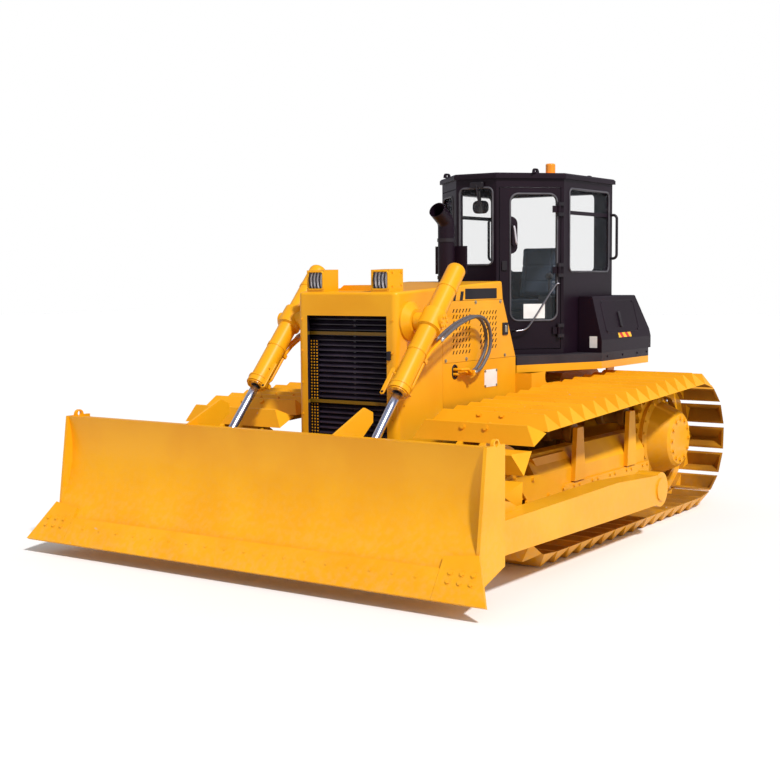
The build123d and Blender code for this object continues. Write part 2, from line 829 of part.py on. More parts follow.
# the side plates under the deck, each with one long rounded window
carrier_outer = 625.0
carrier_plate = 20.0
carrier_low = 1010.0
with BuildPart() as deck_carriers:
    side_plate(
        [
            (hood_foot_y + 20, carrier_low), (case_rear_y, carrier_low),
            (case_rear_y, deck_plate_z - fender_plate), (1030, deck_plate_z - fender_plate),
            (1030, deck_low), (hood_foot_y + 20, deck_low),
        ],
        (carrier_outer - carrier_plate, carrier_outer),
    )
    with BuildSketch(Plane.YZ.offset(carrier_outer - carrier_plate - 1)):
        with Locations(((hood_foot_y + case_rear_y) / 2 + 60, 1244)):
            RectangleRounded(1280, 120, 50)
    extrude(amount=carrier_plate + 2, mode=Mode.SUBTRACT)
    # the brackets that stand on the rear case and the hull
    for y in (1540.0, 2180.0):
        block(
            (case_half, carrier_outer - carrier_plate), (y, y + 60), (carrier_low, carrier_low + 60)
        )
    block(
        (hull_half, carrier_outer - carrier_plate), (hood_foot_y + 30, hood_foot_y + 90),
        (carrier_low - 60, carrier_low),
    )
    block(
        (carrier_outer - carrier_plate, carrier_outer), (hood_foot_y + 30, hood_foot_y + 90),
        (carrier_low - 60, carrier_low),
    )
    mirror(about=Plane.YZ)
write(deck_carriers, "deck_carriers")

# ---------------------------------------------------------------- side boxes and fuel tank
box_inner = cab_half + 8.0
box_front_y = deck_turn_y + 2
with BuildPart() as side_boxes:
    with BuildSketch(Plane.XZ.offset(-box_front_y)):
        with BuildLine():
            Polyline(
                (box_inner, deck_top), (deck_half - 2, deck_top), (deck_half - 2, box_knee),
                (box_top_half, box_top), (box_inner, box_top), close=True,
            )
        make_face()
    extrude(amount=-(deck_rear_y - box_front_y))
    side_plate(
        [
            (box_chamfer_y, box_top + 1), (deck_rear_y, box_chamfer_z),
            (deck_rear_y + 1, box_chamfer_z), (deck_rear_y + 1, box_top + 1),
        ],
        (box_inner - 1, deck_half + 1),
        mode=Mode.SUBTRACT,
    )
    fillet(side_boxes.edges().filter_by(lambda e: e.length > 500).group_by(Axis.Z)[-1], 14)
    mirror(about=Plane.YZ)
write(side_boxes, "side_boxes")

with BuildPart() as fuel_tank:
    side_plate(
        [
            (cab_rear_y + 12, deck_top), (deck_rear_y, deck_top), (deck_rear_y, box_chamfer_z),
            (box_chamfer_y, box_top), (cab_rear_y + 12, box_top),
        ],
        (-(box_inner - 6), box_inner - 6),
    )
write(fuel_tank, "fuel_tank")

# ---------------------------------------------------------------- cab
cab_outline = both_halves(
    [(cab_front_half, cab_front_y), (cab_half, cab_side_y), (cab_half, cab_rear_y)]
)
face_length = hypot(cab_half - cab_front_half, cab_side_y - cab_front_y)
face_along = ((cab_half - cab_front_half) / face_length, (cab_side_y - cab_front_y) / face_length)
face_angle = atan2(face_along[1], face_along[0])
corner_cut = cab_wall * tan(face_angle / 2)
side_cut = cab_wall * tan((pi / 2 - face_angle) / 2)
cab_inside = both_halves(
    [
        (cab_front_half - corner_cut, cab_front_y + cab_wall),
        (cab_half - cab_wall, cab_side_y + side_cut),
        (cab_half - cab_wall, cab_rear_y - cab_wall),
    ]
)
# the slanted door face: x along it from the front post, y up, z inward
door_face = Plane(
    origin=(cab_front_half, cab_front_y, 0),
    x_dir=(face_along[0], face_along[1], 0),
    z_dir=(face_along[1], -face_along[0], 0),
)
door_sill = 1475.0
door_head = 2912.0
door_post = 26.0
door_gap = 6.0
cab_floor = 30.0
front_window_half = 165.0
side_window = (1335.0, 2150.0)
rear_window_half = 470.0
window_corner = 45.0
side_window_low = 2170.0
front_window_low = 2235.0
with BuildPart() as cab_body:
    floor_plate(cab_outline, (deck_top, cab_wall_top))
    floor_plate(cab_inside, (deck_top + cab_floor, cab_wall_top), mode=Mode.SUBTRACT)
    for x_dir, x_middle, half, low, plane in (
        (1, 0, front_window_half, front_window_low, Plane.XZ.offset(-cab_front_y - cab_wall - 1)),
        (1, 0, rear_window_half, side_window_low, Plane.XZ.offset(-cab_rear_y - 1)),
    ):
        with BuildSketch(plane):
            with Locations((x_middle, (low + window_top) / 2)):
                RectangleRounded(2 * half, window_top - low, window_corner)
        extrude(amount=cab_wall + 2, mode=Mode.SUBTRACT)
    with BuildSketch(Plane.YZ.offset(-cab_half - 1)):
        with Locations(((side_window[0] + side_window[1]) / 2, (side_window_low + window_top) / 2)):
            RectangleRounded(
                side_window[1] - side_window[0], window_top - side_window_low, window_corner
            )
    extrude(amount=2 * cab_half + 2, mode=Mode.SUBTRACT)
    for side in (1, -1):
        plane = door_face if side == 1 else Plane(
            origin=(-cab_front_half, cab_front_y, 0),
            x_dir=(-face_along[0], face_along[1], 0),
            z_dir=(face_along[1], face_along[0], 0),
        )
        with BuildSketch(plane):
            with Locations((face_length / 2, (door_sill + door_head) / 2)):
                Rectangle(face_length - 2 * door_post, door_head - door_sill)
        extrude(amount=1.5 * cab_wall, both=True, mode=Mode.SUBTRACT)
write(cab_body, "cab_body")

roof_outline = both_halves(
    [
        (cab_front_half + roof_overhang * 0.4, cab_front_y - roof_overhang),
        (cab_half + roof_overhang, cab_side_y - roof_overhang * 0.4),
        (cab_half + roof_overhang, cab_rear_y + roof_overhang),
    ]
)
roof_top = cab_wall_top + roof_thickness
with BuildPart() as cab_roof:
    floor_plate(roof_outline, (cab_wall_top, roof_top))
    chamfer(cab_roof.faces().sort_by(Axis.Z)[-1].edges(), 14)
    # lifting lugs
    for y in (cab_side_y - 200, cab_rear_y - 130):
        with BuildSketch(Plane.YZ.offset(460 - 7)) as lug:
            with Locations((y, roof_top)):
                SlotOverall(110, 76)
                with Locations((0, 14)):
                    Circle(16, mode=Mode.SUBTRACT)
            with Locations((y, roof_top - 45)):
                Rectangle(120, 80, mode=Mode.SUBTRACT)
        extrude(lug.sketch, amount=14)
    mirror(about=Plane.YZ)
write(cab_roof, "cab_roof")

pane = 6.0
pane_gap = 0.3
pane_depth = cab_wall / 2
with BuildPart() as cab_glass:
    for half, low, plane in (
        (front_window_half, front_window_low, Plane.XZ.offset(-cab_front_y - pane_depth)),
        (rear_window_half, side_window_low, Plane.XZ.offset(-cab_rear_y + pane_depth)),
    ):
        with BuildSketch(plane):
            with Locations((0, (low + window_top) / 2)):
                RectangleRounded(
                    2 * (half - pane_gap), window_top - low - 2 * pane_gap, window_corner
                )
        extrude(amount=pane)
    for x in (cab_half - pane_depth, pane_depth - cab_half - pane):
        with BuildSketch(Plane.YZ.offset(x)):
            with Locations(
                ((side_window[0] + side_window[1]) / 2, (side_window_low + window_top) / 2)
            ):
                RectangleRounded(
                    side_window[1] - side_window[0] - 2 * pane_gap,
                    window_top - side_window_low - 2 * pane_gap,
                    window_corner,
                )
        extrude(amount=pane)
write(cab_glass, "cab_glass")

door_start = door_post + door_gap
door_end = face_length - door_post - door_gap
door_low, door_high = door_sill + door_gap, door_head - door_gap
door_panel = 40.0
door_window = (130.0, 562.0, 1735.0, 2852.0)  # along the face, then height
handle_boss = (130.0, 2490.0, 330.0, 130.0)  # middle along the face, height, length, width
hinge_out = 20.0
hinge_along = door_end - 20.0
hinge_heights = [1640.0, 2180.0, 2720.0]
hinge_pin_radius = 8.0
knuckle_radius = 16.0
knuckle_height = 60.0
hinge_axis = door_face.from_local_coords((hinge_along, 0, hinge_out))
hinge_place = (hinge_axis.X, hinge_axis.Y)
with BuildPart() as cab_door:
    with BuildSketch(door_face.offset(-door_panel)):
        with Locations(((door_start + door_end) / 2, (door_low + door_high) / 2)):
            Rectangle(door_end - door_start, door_high - door_low)
        with Locations(
            ((door_window[0] + door_window[1]) / 2, (door_window[2] + door_window[3]) / 2)
        ):
            RectangleRounded(
                door_window[1] - door_window[0], door_window[3] - door_window[2], 70,
                mode=Mode.SUBTRACT,
            )
        with Locations(handle_boss[:2]):
            SlotOverall(*handle_boss[2:], rotation=90)
    extrude(amount=door_panel)
    # the door's halves of the hinges
    for z in hinge_heights:
        with BuildSketch(Plane.XY.offset(z - knuckle_height / 2)) as knuckle:
            with Locations(hinge_place):
                Circle(knuckle_radius)
        extrude(knuckle.sketch, amount=knuckle_height)
        with BuildSketch(door_face) as leaf:
            with Locations((hinge_along - 28, z)):
                Rectangle(56, knuckle_height)
        extrude(leaf.sketch, amount=hinge_out)
        with Locations((*hinge_place, z)):
            Cylinder(hinge_pin_radius + 0.1, knuckle_height + 2, mode=Mode.SUBTRACT)
    # handle on the front edge
    with BuildSketch(door_face) as handle:
        with Locations((handle_boss[0] + 26, handle_boss[1])):
            SlotOverall(190, 36, rotation=90)
    extrude(handle.sketch, amount=34)
write_pair(cab_door, "cab_door")

with BuildPart() as door_glass:
    with BuildSketch(door_face.offset(-door_panel / 2)):
        with Locations(
            ((door_window[0] + door_window[1]) / 2, (door_window[2] + door_window[3]) / 2)
        ):
            RectangleRounded(
                door_window[1] - door_window[0] - 2 * pane_gap,
                door_window[3] - door_window[2] - 2 * pane_gap,
                70,
            )
        with Locations(handle_boss[:2]):
            SlotOverall(
                handle_boss[2] + 2 * pane_gap,
                handle_boss[3] + 2 * pane_gap,
                rotation=90,
                mode=Mode.SUBTRACT,
            )
    extrude(amount=pane)
write_pair(door_glass, "door_glass")

# ---------------------------------------------------------------- inside the cab
floor_z = deck_top + cab_floor
seat_y = 1760.0
seat_half = 265.0
with BuildPart() as operator_station:
    # the seat's pedestal
    block((-200, 200), (seat_y - 190, seat_y + 190), (floor_z, floor_z + 60))
    block((-150, 150), (seat_y - 150, seat_y + 150), (floor_z + 60, floor_z + 300))
    block((-230, 230), (seat_y - 240, seat_y + 230), (floor_z + 300, floor_z + 330))
    # the dashboard, and a console with a lever on each side
    side_plate(
        [
            (cab_front_y + cab_wall + 4, floor_z), (cab_front_y + 240, floor_z),
            (cab_front_y + 300, floor_z + 560), (cab_front_y + cab_wall + 4, floor_z + 690),
        ],
        (-150, 150),
    )
    for side in (-1, 1):
        x = sorted((side * 300, side * 440))
        block(x, (seat_y - 380, seat_y + 210), (floor_z, floor_z + 480))
        # a control lever with its knob
        with Locations((side * 370, seat_y - 300, floor_z + 560)):
            Cylinder(11, 170)
        with Locations((side * 370, seat_y - 300, floor_z + 665)):
            Sphere(34)
write(operator_station, "operator_station")

with BuildPart() as seat_cushions:
    block(
        (-seat_half, seat_half), (seat_y - 270, seat_y + 220),
        (floor_z + 330 + seat_gap, floor_z + 450),
    )
    side_plate(
        [
            (seat_y + 130, floor_z + 450 + seat_gap), (seat_y + 250, floor_z + 450 + seat_gap),
            (seat_y + 330, floor_z + 960), (seat_y + 230, floor_z + 960),
        ],
        (-seat_half, seat_half),
    )
    side_plate(
        [
            (seat_y + 240, floor_z + 960 + seat_gap), (seat_y + 330, floor_z + 960 + seat_gap),
            (seat_y + 350, floor_z + 1130), (seat_y + 262, floor_z + 1130),
        ],
        (-165, 165),
    )
write(seat_cushions, "seat_cushions")

beacon_x, beacon_y = 411.0, 1400.0
with BuildPart() as beacon:
    with Locations((beacon_x, beacon_y, roof_top)):
        Cylinder(58, 20, align=(Align.CENTER, Align.CENTER, Align.MIN))
        Cylinder(44, beacon_height, align=(Align.CENTER, Align.CENTER, Align.MIN))
    fillet(beacon.edges().group_by(Axis.Z)[-1], 14)
write(beacon, "beacon")

# grab handles on the cab's rear corners, and the cab's halves of the door hinges
handle_reach = 62.0
handle_radius = 13.0
with BuildPart() as cab_fittings:
    with BuildLine() as handle_line:
        FilletPolyline(
            (cab_half, cab_rear_y - 30, 2700), (cab_half + handle_reach, cab_rear_y - 30, 2700),
            (cab_half + handle_reach, cab_rear_y - 30, 2290), (cab_half, cab_rear_y - 30, 2290),
            radius=handle_reach * 0.6,
        )
    with BuildSketch(Plane.YZ.offset(cab_half)) as handle_section:
        with Locations((cab_rear_y - 30, 2700)):
            Circle(handle_radius)
    sweep(handle_section.sketch, path=handle_line.line)
    for z in hinge_heights:
        with Locations((*hinge_place, z)):
            Cylinder(hinge_pin_radius, 2 * knuckle_height)
        for side in (-1, 1):
            middle = z + side * (3 * knuckle_height / 4 + 1)
            with Locations((*hinge_place, middle)):
                Cylinder(knuckle_radius, knuckle_height / 2)
            with BuildSketch(door_face) as leaf:
                with Locations(((hinge_along + face_length) / 2, middle)):
                    Rectangle(face_length - hinge_along, knuckle_height / 2)
            extrude(leaf.sketch, amount=hinge_out)
            with BuildSketch(door_face) as leaf_step:
                with Locations(((hinge_along + face_length - door_post) / 2, middle)):
                    Rectangle(face_length - door_post - hinge_along, knuckle_height / 2)
            extrude(leaf_step.sketch, amount=running_gap, mode=Mode.SUBTRACT)
    mirror(about=Plane.YZ)
write(cab_fittings, "cab_fittings")

# ---------------------------------------------------------------- drawbar
drawbar_pin_radius = 27.5
drawbar_pin_y = rear_y - 95.0
drawbar_plate = 50.0
drawbar_gap = 90.0
drawbar_z = 620.0
with BuildPart() as drawbar:
    block((-170, 170), (case_rear_y, case_rear_y + 60), (belly_z + 90, 800))
    for z in (drawbar_z - drawbar_gap / 2 - drawbar_plate, drawbar_z + drawbar_gap / 2):
        with BuildSketch(Plane.XY.offset(z)):
            with Locations((0, (case_rear_y + 60 + drawbar_pin_y) / 2)):
                Rectangle(190, drawbar_pin_y - case_rear_y - 60)
            with Locations((0, drawbar_pin_y)):
                Circle(95)
                Circle(drawbar_pin_radius, mode=Mode.SUBTRACT)
        extrude(amount=drawbar_plate)
write(drawbar, "drawbar")

# ---------------------------------------------------------------- blade
edge_angle = radians(edge_lean)


def on_edge(up, back):
    """A (y, z) point of the cutting edge: up along its face, and back behind it."""
    return (
        front_y + up * cos(edge_angle) + back * sin(edge_angle),
        edge_low + up * sin(edge_angle) - back * cos(edge_angle),
    )


# The mouldboard's face is flat behind the edge and runs into one arc up to the top.
flat_low = on_edge(45, edge_thickness)
flat_high = on_edge(bit_height, edge_thickness)
chord = hypot(blade_top_y - flat_high[0], blade_top_z - flat_high[1])
chord_angle = atan2(blade_top_z - flat_high[1], blade_top_y - flat_high[0])
face_radius = chord / (2 * sin(chord_angle - edge_angle))
face_centre = (
    flat_high[0] - face_radius * sin(edge_angle),
    flat_high[1] + face_radius * cos(edge_angle),
)
arc_start = edge_lean - 90
arc_size = 2 * degrees(chord_angle - edge_angle)
arc_end = radians(arc_start + arc_size)


def behind_face(deeper, rear):
    """Outline of what lies behind the blade's face, from a depth under it to a Y."""
    low = on_edge(45, edge_thickness + deeper)
    high = on_edge(bit_height, edge_thickness + deeper)
    reach = face_radius + deeper
    top = (face_centre[0] + reach * cos(arc_end), face_centre[1] + reach * sin(arc_end))
    Line(low, high)
    CenterArc(face_centre, reach, arc_start, arc_size)
    Polyline(top, (rear, top[1]), (rear, low[1]), low)


def back_plate(rear, x, z):
    """What stands behind the mouldboard between two values of X and of Z, back to a Y."""
    with BuildSketch(Plane.YZ.offset(x[0])) as section:
        with BuildLine():
            behind_face(blade_plate / 2, rear)
        make_face()
        with Locations(((front_y + rear) / 2, (z[0] + z[1]) / 2)):
            Rectangle(rear - front_y, z[1] - z[0], mode=Mode.INTERSECT)
    extrude(section.sketch, amount=x[1] - x[0])


blade_inner = blade_half - end_plate
beam_rear_y = -2190.0
lower_beam = (200.0, 420.0)
upper_beam = (900.0, 1040.0)
rib_places = [(0.0, 20.0), (330.0, 20.0), (1000.0, 20.0), (1330.0, 20.0)]  # middle X, thickness
eye_half = 31.0
ear_gap = 6.0  # from the rod's eye to an ear
eye_plate = 30.0
ear_radius = 66.0
eye_pin_radius = 28.0
fin_half = 10.0
lug_radius = 42.0
with BuildPart() as blade:
    with BuildSketch(Plane.YZ.offset(-blade_inner)):
        with BuildLine():
            behind_face(0, beam_rear_y)
        make_face()
        with BuildLine():
            behind_face(blade_plate, beam_rear_y + 10)
        make_face(mode=Mode.SUBTRACT)
    extrude(amount=2 * blade_inner)
    block((-blade_inner, blade_inner), (beam_rear_y - 1, beam_rear_y), (0, 1100), mode=Mode.SUBTRACT)
    for z in (lower_beam, upper_beam):
        back_plate(beam_rear_y, (-blade_inner, blade_inner), z)
    for side in (-1, 1):
        for middle, thickness in rib_places:
            x = (side * middle - thickness / 2, side * middle + thickness / 2)
            back_plate(beam_rear_y - 30, x, (lower_beam[0] + 20, upper_beam[1] - 20))
        # the end plate, with the lug at its top
        outer = side * (blade_half - end_plate / 2)
        x = (outer - end_plate / 2, outer + end_plate / 2)
        side_plate(
            [
                on_edge(20, edge_thickness), on_edge(330, edge_thickness),
                (blade_top_y - 2, blade_top_z), (end_plate_rear_y, blade_top_z),
                (end_plate_rear_y, end_plate_low), (front_y + 150, edge_low + 22),
            ],
            x,
        )
        with BuildSketch(Plane.YZ.offset(x[0])) as lug:
            with Locations((blade_top_y + 120, blade_top_z)):
                Circle(lug_radius)
        extrude(lug.sketch, amount=end_plate)
        with BuildSketch(Plane.YZ.offset(x[0])) as lug_hole:
            with Locations((blade_top_y + 120, blade_top_z + 12)):
                Circle(lug_radius / 2)
        extrude(lug_hole.sketch, amount=end_plate, mode=Mode.SUBTRACT)
        # the socket that the push arm is welded into
        outer = side * (arm_inner + arm_width / 2)
        back_plate(
            beam_rear_y, (outer - arm_width / 2, outer + arm_width / 2), (lower_beam[1] - 10, 560)
        )
        # the fin that stands in front of the rod
        side_plate(
            [
                (blade_top_y + 48, blade_top_z - 60), (rod_eye_y + 40, blade_top_z - 60),
                (rod_eye_y + 180, blade_top_z + 45), (rod_eye_y + 180, blade_top_z + 115),
                (rod_eye_y + 83, blade_top_z + 155), (blade_top_y + 48, blade_top_z),
            ],
            (side * cylinder_x - fin_half, side * cylinder_x + fin_half),
        )
        # the two ears that the rod's eye hangs between, each with its end of the pin
        for ear in (-1, 1):
            inner = side * cylinder_x + ear * (eye_half + ear_gap)
            x = sorted((inner, inner + ear * eye_plate))
            back_plate(beam_rear_y, x, (lower_beam[0] + 20, upper_beam[1] - 20))
            side_plate(
                [
                    (beam_rear_y - 5, rod_eye_z - 170), (rod_eye_y, rod_eye_z - ear_radius),
                    (rod_eye_y, rod_eye_z + ear_radius), (beam_rear_y - 5, rod_eye_z + 150),
                ],
                x,
            )
            for radius, ends in (
                (ear_radius, x),
                (eye_pin_radius - 0.5, sorted((inner - ear * (ear_gap - 0.5), inner))),
                (eye_pin_radius + 14, sorted((inner, inner + ear * (eye_plate + 12)))),
            ):
                with BuildSketch(Plane.YZ.offset(ends[0])) as disc:
                    with Locations((rod_eye_y, rod_eye_z)):
                        Circle(radius)
                extrude(disc.sketch, amount=ends[1] - ends[0])
write(blade, "blade")

# face of the cutting edge: x across the machine, y up the face
edge_face = Plane(
    origin=(0, front_y, edge_low),
    x_dir=(1, 0, 0),
    z_dir=(0, -sin(edge_angle), cos(edge_angle)),
)
edge_gap = 2.0
edge_half = bit_half - 403
with BuildPart() as cutting_edges:
    with BuildSketch(edge_face):
        with Locations((0, edge_height / 2)):
            Rectangle(2 * edge_half, edge_height)
        for side in (-1, 1):
            with BuildLine():
                Polyline(
                    (side * (edge_half + edge_gap), 0), (side * bit_half, 0),
                    (side * (blade_half + 9), bit_height),
                    (side * (edge_half + edge_gap), bit_height - 30), close=True,
                )
            make_face()
    extrude(amount=-edge_thickness)
write(cutting_edges, "cutting_edges")

# ---------------------------------------------------------------- push arms
arm_x = (arm_inner, arm_inner + arm_width)
arm_end_radius = 140.0
trunnion_depth = 140.0
with BuildPart() as push_arms:
    with BuildSketch(Plane.YZ.offset(arm_x[0])):
        with BuildLine():
            Polyline(
                (beam_rear_y, 540 - arm_front_depth), (-318, 561 - arm_middle_depth),
                (arm_pivot_y, arm_pivot_z - arm_rear_depth / 2),
                (arm_pivot_y, arm_pivot_z + arm_rear_depth / 2), (-318, 561), (beam_rear_y, 540),
                close=True,
            )
        make_face()
        with Locations((arm_pivot_y, arm_pivot_z)):
            Circle(arm_end_radius)
    extrude(amount=arm_width)
    with Locations(Location((arm_x[0] + trunnion_depth / 2, arm_pivot_y, arm_pivot_z), (0, 90, 0))):
        Cylinder(trunnion_radius + seat_gap, trunnion_depth, mode=Mode.SUBTRACT)
    # the cap over the trunnion, and the gusset against the blade's back
    with Locations(Location((arm_x[1] + 6, arm_pivot_y, arm_pivot_z), (0, 90, 0))):
        Cylinder(trunnion_radius + 30, 12)
    side_plate(
        [
            (beam_rear_y, 500), (-1500, 500), (-1635, 548), (-1785, 615), (-1900, 640),
            (beam_rear_y, 780),
        ],
        (arm_x[0] + 40, arm_x[0] + 70),
    )
    mirror(about=Plane.YZ)
write(push_arms, "push_arms")

# ---------------------------------------------------------------- lift cylinders
# along the left cylinder: origin at the swing pin, z up to the closed end, y to the rear
rod_reach = hypot(swing_y - rod_eye_y, swing_z - rod_eye_z)
lift_up = (0, (swing_y - rod_eye_y) / rod_reach, (swing_z - rod_eye_z) / rod_reach)
lift_line = Plane(origin=(cylinder_x, swing_y, swing_z), x_dir=(1, 0, 0), z_dir=lift_up)
lift_section = Plane(origin=lift_line.origin, x_dir=(1, 0, 0), z_dir=-lift_line.y_dir)


def turned_on_line(profile, mode=Mode.ADD):
    """A body turned about the cylinder's line; its profile is (radius, way up from the pin)."""
    with BuildSketch(lift_section) as section:
        with BuildLine():
            Polyline(*profile, close=True)
        make_face()
    revolve(section.sketch, axis=Axis(lift_line.origin, lift_line.z_dir), mode=mode)


def tube_along(points, radius, bend):
    """A round bar along straight runs with arcs at their corners."""
    with BuildLine() as path:
        FilletPolyline(*points, radius=bend)
    with BuildSketch(Plane(origin=path.line @ 0, z_dir=path.line % 0)) as section:
        Circle(radius)
    sweep(section.sketch, path=path.line)


bore_radius = barrel_radius - 13
gland_length = 48.0
gland_radius = barrel_radius + 9
collar_radius = 96.0
collar_half = 78.0
hub_out = 133.0  # how far the trunnion's hub reaches toward the hull
hub_radius_barrel = 68.0
swing_pin_radius = 42.0
swing_pin_depth = 50.0
pipe_radius = 13.0
pipe_spread = 44.0
pipe_out = barrel_radius + pipe_radius + 8
port_out, port_along = 166.0, -60.0
port_rise_out, port_rise_along = pipe_out + 22, -190.0  # where the pipes leave the barrel
with BuildPart() as lift_barrel:
    turned_on_line(
        [
            (0, barrel_above), (barrel_radius, barrel_above), (barrel_radius, collar_half + 12), (collar_radius, collar_half),
            (collar_radius, -collar_half), (barrel_radius, -collar_half - 12),
            (barrel_radius, gland_length - barrel_below), (gland_radius, gland_length - barrel_below),
            (gland_radius, -barrel_below), (rod_radius + seat_gap, -barrel_below),
            (rod_radius + seat_gap, 60 - barrel_below), (bore_radius, 60 - barrel_below),
            (bore_radius, barrel_above - 50), (0, barrel_above - 50),
        ]
    )
    closed_end = lift_barrel.edges().sort_by(Axis(lift_line.origin, lift_line.z_dir))[-1]
    fillet(closed_end, 45)
    # hub of the swing pin, on the side of the hull, and the cap opposite
    for start, end, radius in (
        (cylinder_x - hub_out, cylinder_x - bore_radius - 8, hub_radius_barrel),
        (cylinder_x + bore_radius + 8, cylinder_x + collar_radius + 16, hub_radius_barrel - 14),
    ):
        with BuildSketch(Plane.YZ.offset(start)) as hub:
            with Locations((swing_y, swing_z)):
                Circle(radius)
        extrude(hub.sketch, amount=end - start)
    with BuildSketch(Plane.YZ.offset(cylinder_x - hub_out)) as pin_hole:
        with Locations((swing_y, swing_z)):
            Circle(swing_pin_radius + seat_gap)
    extrude(pin_hole.sketch, amount=swing_pin_depth, mode=Mode.SUBTRACT)
    # the two oil pipes up the barrel's back, from the gland to the hose ends
    for side in (-1, 1):
        x = side * pipe_spread / 2
        route = [
            (x, pipe_out - 25, 70 - barrel_below), (x, pipe_out, 130 - barrel_below),
            (x, pipe_out, -300), (x, port_rise_out, port_rise_along), (x, port_out, port_along),
        ]
        tube_along([lift_line.from_local_coords(point) for point in route], pipe_radius, 28)
    # clamps that hold the pipes to the barrel
    for along in (-640.0, -330.0):
        with BuildSketch(lift_line.offset(along)) as clamp:
            with Locations((0, pipe_out - 14)):
                Rectangle(pipe_spread + 2 * pipe_radius + 14, 2 * pipe_radius + 34)
            Circle(barrel_radius - 6, mode=Mode.SUBTRACT)
        extrude(clamp.sketch, amount=34)
write_pair(lift_barrel, "lift_barrel")

rod_length = 1290.0  # from the eye to the piston's far face
piston_thickness = 60.0
eye_z = -rod_reach
with BuildPart() as lift_rod:
    turned_on_line(
        [
            (0, eye_z + 40), (rod_radius, eye_z + 40),
            (rod_radius, eye_z + rod_length - piston_thickness),
            (bore_radius - seat_gap, eye_z + rod_length - piston_thickness),
            (bore_radius - seat_gap, eye_z + rod_length), (0, eye_z + rod_length),
        ]
    )
    with BuildSketch(Plane.YZ.offset(cylinder_x - eye_half)) as eye:
        with Locations((rod_eye_y, rod_eye_z)):
            Circle(rod_eye_radius)
    extrude(eye.sketch, amount=2 * eye_half)
    with BuildSketch(Plane.YZ.offset(cylinder_x - eye_half - 1)) as eye_hole:
        with Locations((rod_eye_y, rod_eye_z)):
            Circle(eye_pin_radius)
    extrude(eye_hole.sketch, amount=2 * eye_half + 2, mode=Mode.SUBTRACT)
write_pair(lift_rod, "lift_rod")

# the cone on the radiator guard's side that carries the swing pin
cone_foot, cone_top = 150.0, 92.0
cone_end = cylinder_x - hub_out - running_gap
with BuildPart() as cylinder_brackets:
    wheel(
        [
            (hood_half, 0), (hood_half, cone_foot), (hood_half + 14, cone_foot),
            (cone_end, cone_top), (cone_end, swing_pin_radius),
            (cylinder_x - hub_out + swing_pin_depth - 2, swing_pin_radius),
            (cylinder_x - hub_out + swing_pin_depth - 2, 0),
        ],
        (0, swing_y, swing_z),
    )
    mirror(about=Plane.YZ)
write(cylinder_brackets, "cylinder_brackets")

# ---------------------------------------------------------------- lift hoses
hose_radius = 14.0
manifold_y = (-238.0, -206.0)
manifold_z = (1325.0, 1369.0)
manifold_x = (hood_half, hood_half + 92.0)
manifold_middle = (manifold_z[0] + manifold_z[1]) / 2
hose_end_x = (hood_half + manifold_x[1]) / 2
hose_start = lift_line.from_local_coords((0, port_out, port_along))
port_rise = lift_line.from_local_coords((0, port_rise_out, port_rise_along))
hose_lead = hose_start + (hose_start - port_rise).normalized() * 190
hose_route = [
    tuple(hose_start),
    tuple(hose_lead),
    (640.0, -500.0, 1790.0),
    (600.0, -237.0, 1815.0),
    (570.0, -55.0, 1760.0),
    (552.0, 35.0, 1640.0),
    (540.0, 40.0, 1520.0),
    (532.0, -35.0, 1422.0),
    (hose_end_x, -115.0, manifold_middle),
    (hose_end_x, manifold_y[1], manifold_middle),
]


def cord_radii(points):
    """For each corner, the radius of an arc that takes 0.45 of the shorter run."""
    radii = []
    for before, here, after in zip(points, points[1:], points[2:]):
        arriving, leaving = Vector(here) - Vector(before), Vector(after) - Vector(here)
        half_turn = radians(arriving.get_angle(leaving) / 2)
        radii.append(0.45 * min(arriving.length, leaving.length) / tan(half_turn))
    return radii


print("hose arcs", [round(radius) for radius in cord_radii(hose_route)])
with BuildPart() as lift_hoses:
    for side in (-1, 1):
        points = [(x + side * pipe_spread / 2, y, z) for x, y, z in hose_route]
        with BuildLine() as path:
            FilletPolyline(*points, radius=cord_radii(points))
        with BuildSketch(Plane(origin=path.line @ 0, z_dir=path.line % 0)) as section:
            Circle(hose_radius)
        sweep(section.sketch, path=path.line)
        hose_length = sum(edge.length for edge in path.edges())
        print("hose", round(hose_length), "long, volume", round(hose_length * pi * hose_radius**2))
    print("both hoses' volume", round(lift_hoses.part.volume))
write_pair(lift_hoses, "lift_hoses")

with BuildPart() as hose_manifolds:
    block(manifold_x, manifold_y, manifold_z)
    for side in (-1, 1):
        start = hose_end_x + side * pipe_spread / 2
        z = manifold_middle + side * 19 + 12
        tube_along(
            [
                (start, manifold_y[0] + 4, manifold_middle), (start, manifold_y[0] - 52, z),
                (start, -368, z), (hood_half - 45, -394, z),
            ],
            pipe_radius,
            22,
        )
    mirror(about=Plane.YZ)
write(hose_manifolds, "hose_manifolds")
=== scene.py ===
import math

import bmesh
import bpy
from mathutils import Matrix, Vector


